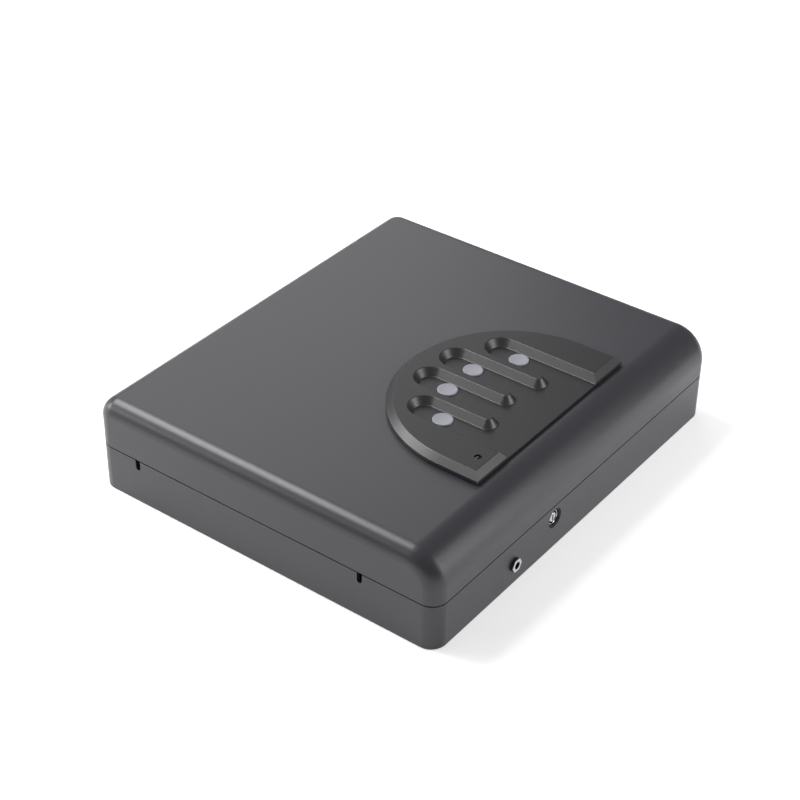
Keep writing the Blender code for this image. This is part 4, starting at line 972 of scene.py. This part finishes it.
@dataclass
class KeyLock:
    """Key lock in the front wall: bezel, barrel and turning plug with its keyway."""

    shop: Workshop
    surround: float = 0.0062
    surround_bore: float = 0.0054
    surround_flange: float = 0.0075
    barrel: float = 0.0050
    barrel_edge: float = 0.0005
    barrel_flange: float = 0.0065
    flange_set: float = 0.0022
    flange_thick: float = 0.0016
    bore: float = 0.0041
    bore_edge: float = 0.0002
    plug: float = 0.0032
    plug_edge: float = 0.0003
    tail: float = 0.0022
    tail_long: float = 0.0021
    keyway_half: Flat = (0.0006, 0.0022)
    keyway_deep: float = 0.008
    hole_radius: float = 0.0065
    middle_node: str = "lock_plug"

    def build(self) -> None:
        """Make the three pieces that show in the hole."""
        centre = centre_of(self.middle_node, Axis.Y)
        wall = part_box("base_tray")[0].y + SHEET
        low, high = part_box("lock_bezel")
        lip = (self.surround - self.surround_bore) / 2
        profile = arc((self.surround - lip, low.y + lip), lip, 180.0, 360.0, 8)
        profile += [(self.surround, wall + GAP), (self.surround_flange, wall + GAP),
                    (self.surround_flange, high.y), (self.surround_bore, high.y)]
        shape = turned(profile, centre, Axis.Y)
        self.shop.piece("lock_surround", shape, Slot.BLACK, "base", ["lock_bezel"])

        low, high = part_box("lock_barrel")
        edge = self.barrel_edge
        near = wall + self.flange_set
        far = near + self.flange_thick
        profile = [(self.bore, low.y + self.bore_edge), (self.bore + self.bore_edge, low.y)]
        profile += arc((self.barrel - edge, low.y + edge), edge, -90.0, 0.0, 5)
        profile += [(self.barrel, near), (self.barrel_flange, near), (self.barrel_flange, far),
                    (self.barrel, far), (self.barrel, high.y), (self.bore, high.y)]
        shape = turned(profile, centre, Axis.Y)
        self.shop.piece("lock_body", shape, Slot.CHROME, "base", ["lock_barrel"])

        low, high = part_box("lock_plug")
        tail_y = high.y - self.tail_long
        profile = [(0.0, low.y), (self.plug - self.plug_edge, low.y), (self.plug, low.y + self.plug_edge),
                   (self.plug, tail_y), (self.tail, tail_y), (self.tail, high.y), (0.0, high.y)]
        across, up = self.keyway_half
        keyway = block(bmesh.new(), (centre[0] - across, low.y - OVER, centre[1] - up),
                       (centre[0] + across, low.y + self.keyway_deep, centre[1] + up))
        shape = carve(turned(profile, centre, Axis.Y), keyway)
        self.shop.piece("lock_cylinder", shape, Slot.CHROME, "key_cylinder", ["lock_plug"])


@dataclass
class PowerJack:
    """Power jack beside the lock: black barrel, bright hexagonal face, centre pin."""

    shop: Workshop
    collar: float = 0.0044
    collar_edge: float = 0.0002
    barrel: float = 0.0039
    flange: float = 0.0055
    bore: float = 0.0025
    bottom: float = 0.002
    face_edge: float = 0.00012
    pin_edge: float = 0.0004
    hole_radius: float = 0.0042
    middle_node: str = "power_jack_pin"

    def build(self) -> None:
        """Make the barrel, the face and the pin."""
        centre = centre_of(self.middle_node, Axis.Y)
        low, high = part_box("power_jack_body")
        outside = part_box("base_tray")[0].y - GAP
        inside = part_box("base_tray")[0].y + SHEET + GAP
        edge = self.collar_edge
        profile = [(0.0, high.y), (self.flange, high.y), (self.flange, inside), (self.barrel, inside),
                   (self.barrel, outside), (self.collar, outside)]
        profile += arc((self.collar - edge, low.y + edge), edge, 0.0, -90.0, 4)
        profile += [(self.bore, low.y), (self.bore, high.y - self.bottom), (0.0, high.y - self.bottom)]
        shape = turned(profile, centre, Axis.Y)
        self.shop.piece("jack_barrel", shape, Slot.BLACK, "base", ["power_jack_body"])

        low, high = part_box("power_jack_nut")
        shape = rod(bmesh.new(), centre, Axis.Y, low.y, high.y, (high.x - low.x) / 2, 6)
        break_edges(shape, self.face_edge)
        shape = carve(shape, rod(bmesh.new(), centre, Axis.Y, low.y - OVER, high.y + OVER, self.bore))
        self.shop.piece("jack_face", shape, Slot.CHROME, "base", ["power_jack_nut"])

        low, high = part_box("power_jack_pin")
        radius = (high.x - low.x) / 2
        edge = self.pin_edge
        profile = [(0.0, low.y)] + arc((radius - edge, low.y + edge), edge, -90.0, 0.0, 4)
        profile += [(radius, high.y), (0.0, high.y)]
        shape = turned(profile, centre, Axis.Y, 24)
        self.shop.piece("jack_contact", shape, Slot.ZINC, "base", ["power_jack_pin"])


@dataclass
class Inside:
    """What shows when the lid is open: foam, latch housing, cover, battery door, striker, screws."""

    shop: Workshop
    foam_cells: tuple[int, int] = (150, 110)
    foam_pitch: float = 0.0165
    foam_wave: float = 0.0021
    foam_border: float = 0.004
    foam_sag: float = 0.0012
    head_rise: float = 0.0016
    shank: float = 0.0015
    cross_arm: float = 0.0016
    cross_half: float = 0.00035
    cross_deep: float = 0.0009

    def build(self) -> None:
        """Make every inner piece that shows."""
        self.build_foam()
        for node, slot, body, edge in (
            ("latch_housing", Slot.DARK_POWDER, "base", 0.0004),
            ("lid_inner_cover", Slot.DARK_POWDER, "lid", 0.0005),
            ("battery_door", Slot.BLACK, "battery_hatch", 0.0002),
            ("striker_plate", Slot.ZINC, "lid", 0.0002),
        ):
            self.shop.piece(f"{node}_finished", break_edges(copy_of(node), edge), slot, body, [node])
        for number in range(1, 5):
            self.build_screw(f"cover_screw_{number}", "lid", -1)
        for number in range(1, 3):
            self.build_screw(f"housing_screw_{number}", "base", 1)

    def build_foam(self) -> None:
        """Cut the foam mat with low egg-crate waves on top, easing off to a sunk border."""
        low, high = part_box("base_foam")
        size = high - low
        middle = centre_of("base_foam", Axis.Z)
        shape = bmesh.new()
        columns, rows = self.foam_cells
        turn = math.tau / self.foam_pitch
        bmesh.ops.create_grid(shape, x_segments=columns, y_segments=rows, size=0.5)
        for vert in shape.verts:
            across = vert.co.x * size.x
            along = vert.co.y * size.y
            wave = math.cos(turn * across) * math.cos(turn * along)
            margin = min(0.5 * size.x - abs(across), 0.5 * size.y - abs(along))
            ease = min(1.0, margin / self.foam_border)
            height = high.z - self.foam_wave * (1.0 - wave) / 2 * ease - self.foam_sag * (1.0 - ease) ** 2
            vert.co = Vector((middle[0] + across, middle[1] + along, height))
        rim = [edge for edge in shape.edges if edge.is_boundary]
        grown = bmesh.ops.extrude_edge_only(shape, edges=rim)["geom"]
        for vert in (item for item in grown if isinstance(item, bmesh.types.BMVert)):
            vert.co.z = low.z
        foot = [edge for edge in shape.edges if edge.is_boundary]
        bmesh.ops.contextual_create(shape, geom=foot)
        bmesh.ops.recalc_face_normals(shape, faces=shape.faces)
        foam = self.shop.piece("foam_mat", shape, Slot.FOAM, "base", ["base_foam"], sharp=60.0)

    def build_screw(self, node: str, body: str, way: int) -> None:
        """Turn a pan-head screw with a cross recess.

        Args:
            node: the construction node that it replaces.
            body: the body that it rides on.
            way: 1 where the head is up, -1 where it is down.
        """
        low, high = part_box(node)
        centre = centre_of(node, Axis.Z)
        crown, end = (high.z, low.z) if way > 0 else (low.z, high.z)
        seat = crown - way * self.head_rise
        dome = quarter((high.x - low.x) / 2, self.head_rise, (90.0, 75.0, 60.0, 45.0, 30.0, 15.0, 0.0))
        profile = [(reach, seat + way * rise) for reach, rise in dome]
        profile += [(self.shank, seat), (self.shank, end), (0.0, end)]
        arm, half = self.cross_arm, self.cross_half
        corners = [(arm, half), (half, half), (half, arm), (-half, arm), (-half, half), (-arm, half)]
        corners += [(-x, -y) for x, y in corners]
        outline = [(centre[0] + x, centre[1] + y) for x, y in corners]
        depth = sorted((crown + way * OVER, crown - way * self.cross_deep))
        shape = carve(turned(profile, centre, Axis.Z, 32), prism(bmesh.new(), outline, Axis.Z, *depth))
        self.shop.piece(f"{node}_head", shape, Slot.ZINC, body, [node])


@dataclass
class Studio:
    """Camera, pale floor and soft lights."""

    azimuth: float = -53.604
    elevation: float = 35.049
    roll: float = -1.008
    lens: float = 83.78
    sensor: float = 36.0
    place: tuple[float, float, float] = (-0.7812, -0.5666, 0.7123)
    floor_half: float = 6.0
    glow_range: tuple[float, float] = (0.6, 1.8)
    glow: tuple[float, float] = (0.5, 1.0)
    room_light: float = 0.22

    def build(self) -> None:
        """Set up the whole studio."""
        self.build_camera()
        self.build_floor()
        self.build_lights()
        bpy.context.scene.view_settings.view_transform = "Standard"

    def build_camera(self) -> None:
        """Place the camera at the photograph's angle."""
        azimuth = math.radians(self.azimuth)
        elevation = math.radians(self.elevation)
        roll = math.radians(self.roll)
        back = Vector((
            math.sin(azimuth) * math.cos(elevation),
            -math.cos(azimuth) * math.cos(elevation),
            math.sin(elevation),
        ))
        right = (-back).cross(Axis.Z.value).normalized()
        down = (-back).cross(right)
        turned_right = math.cos(roll) * right + math.sin(roll) * down
        turned_down = math.cos(roll) * down - math.sin(roll) * right
        turn = Matrix((turned_right, -turned_down, back)).transposed()
        data = bpy.data.cameras.new("camera")
        data.lens = self.lens
        data.sensor_width = self.sensor
        data.sensor_fit = "HORIZONTAL"
        item = bpy.data.objects.new("camera", data)
        item.matrix_world = Matrix.Translation(Vector(self.place)) @ turn.to_4x4()
        bpy.context.scene.collection.objects.link(item)
        bpy.context.scene.camera = item

    def build_floor(self) -> None:
        """Lay a wide pale floor that looks white, most of all far away, and keeps the soft shadow."""
        shape = bmesh.new()
        bmesh.ops.create_grid(shape, x_segments=1, y_segments=1, size=self.floor_half)
        floor = object_of("studio_floor", shape)
        made = bpy.data.materials.new("pale_floor")
        made.use_nodes = True
        tree = made.node_tree
        shader = tree.nodes["Principled BSDF"]
        shader.inputs["Base Color"].default_value = srgb("#F2F2F2")
        shader.inputs["Roughness"].default_value = 0.9
        path = add_node(tree, "ShaderNodeLightPath", {}, {})
        seen = add_node(tree, "ShaderNodeMath", {"operation": "MAXIMUM"},
                        {0: path.outputs["Is Camera Ray"], 1: path.outputs["Is Glossy Ray"]})
        place = add_node(tree, "ShaderNodeTexCoord", {}, {}).outputs["Object"]
        away = add_node(tree, "ShaderNodeVectorMath", {"operation": "LENGTH"}, {0: place})
        limits = {"From Min": self.glow_range[0], "From Max": self.glow_range[1],
                  "To Min": self.glow[0], "To Max": self.glow[1]}
        glow = add_node(tree, "ShaderNodeMapRange", limits, {"Value": away.outputs["Value"]})
        links = {0: seen.outputs[0], 1: glow.outputs["Result"]}
        strength = add_node(tree, "ShaderNodeMath", {"operation": "MULTIPLY"}, links)
        tree.links.new(strength.outputs[0], shader.inputs["Emission Strength"])
        shader.inputs["Emission Color"].default_value = srgb("#FFFFFF")
        floor.data.materials.append(made)

    def build_lights(self) -> None:
        """Hang two soft boxes, a card behind, one in front and a small strip left, in a white room."""
        world = bpy.data.worlds.new("room")
        world.use_nodes = True
        tree = world.node_tree
        background = tree.nodes["Background"]
        background.inputs["Color"].default_value = srgb("#FFFFFF")
        path = add_node(tree, "ShaderNodeLightPath", {}, {})
        strength = add_node(tree, "ShaderNodeMapRange", {"To Min": self.room_light, "To Max": 1.0},
                            {"Value": path.outputs["Is Camera Ray"]})
        tree.links.new(strength.outputs["Result"], background.inputs["Strength"])
        bpy.context.scene.world = world
        for name, place, size, power in (
            ("overhead_box", (-0.12, 0.85, 1.24), (0.8, 0.6), 18.0),
            ("rear_right_box", (1.2, 1.2, 1.05), (1.0, 1.0), 4.9),
            ("rear_left_card", (-0.63, 1.15, 0.5), (0.75, 0.5), 9.0),
            ("left_strip", (-0.926, 0.538, 0.749), (0.26, 0.2), 0.55),
            ("front_card", (0.28, -0.72, 0.33), (0.4, 0.6), 2.7),
        ):
            data = bpy.data.lights.new(name, "AREA")
            data.shape = "RECTANGLE"
            data.size, data.size_y = size
            data.energy = power
            item = bpy.data.objects.new(name, data)
            item.location = place
            item.rotation_euler = Vector(place).to_track_quat("Z", "Y").to_euler()
            item.visible_camera = False
            bpy.context.scene.collection.objects.link(item)


def main() -> None:
    """Build the safe and the studio."""
    logging.basicConfig(level=logging.INFO, format="%(name)s: %(message)s")
    shop = Workshop()
    for assembly in (SteelBody(shop), Keypad(shop), KeyLock(shop), PowerJack(shop), Inside(shop), Studio()):
        LOG.info("building %s", type(assembly).__name__)
        assembly.build()


if __name__ == "__main__":
    main()
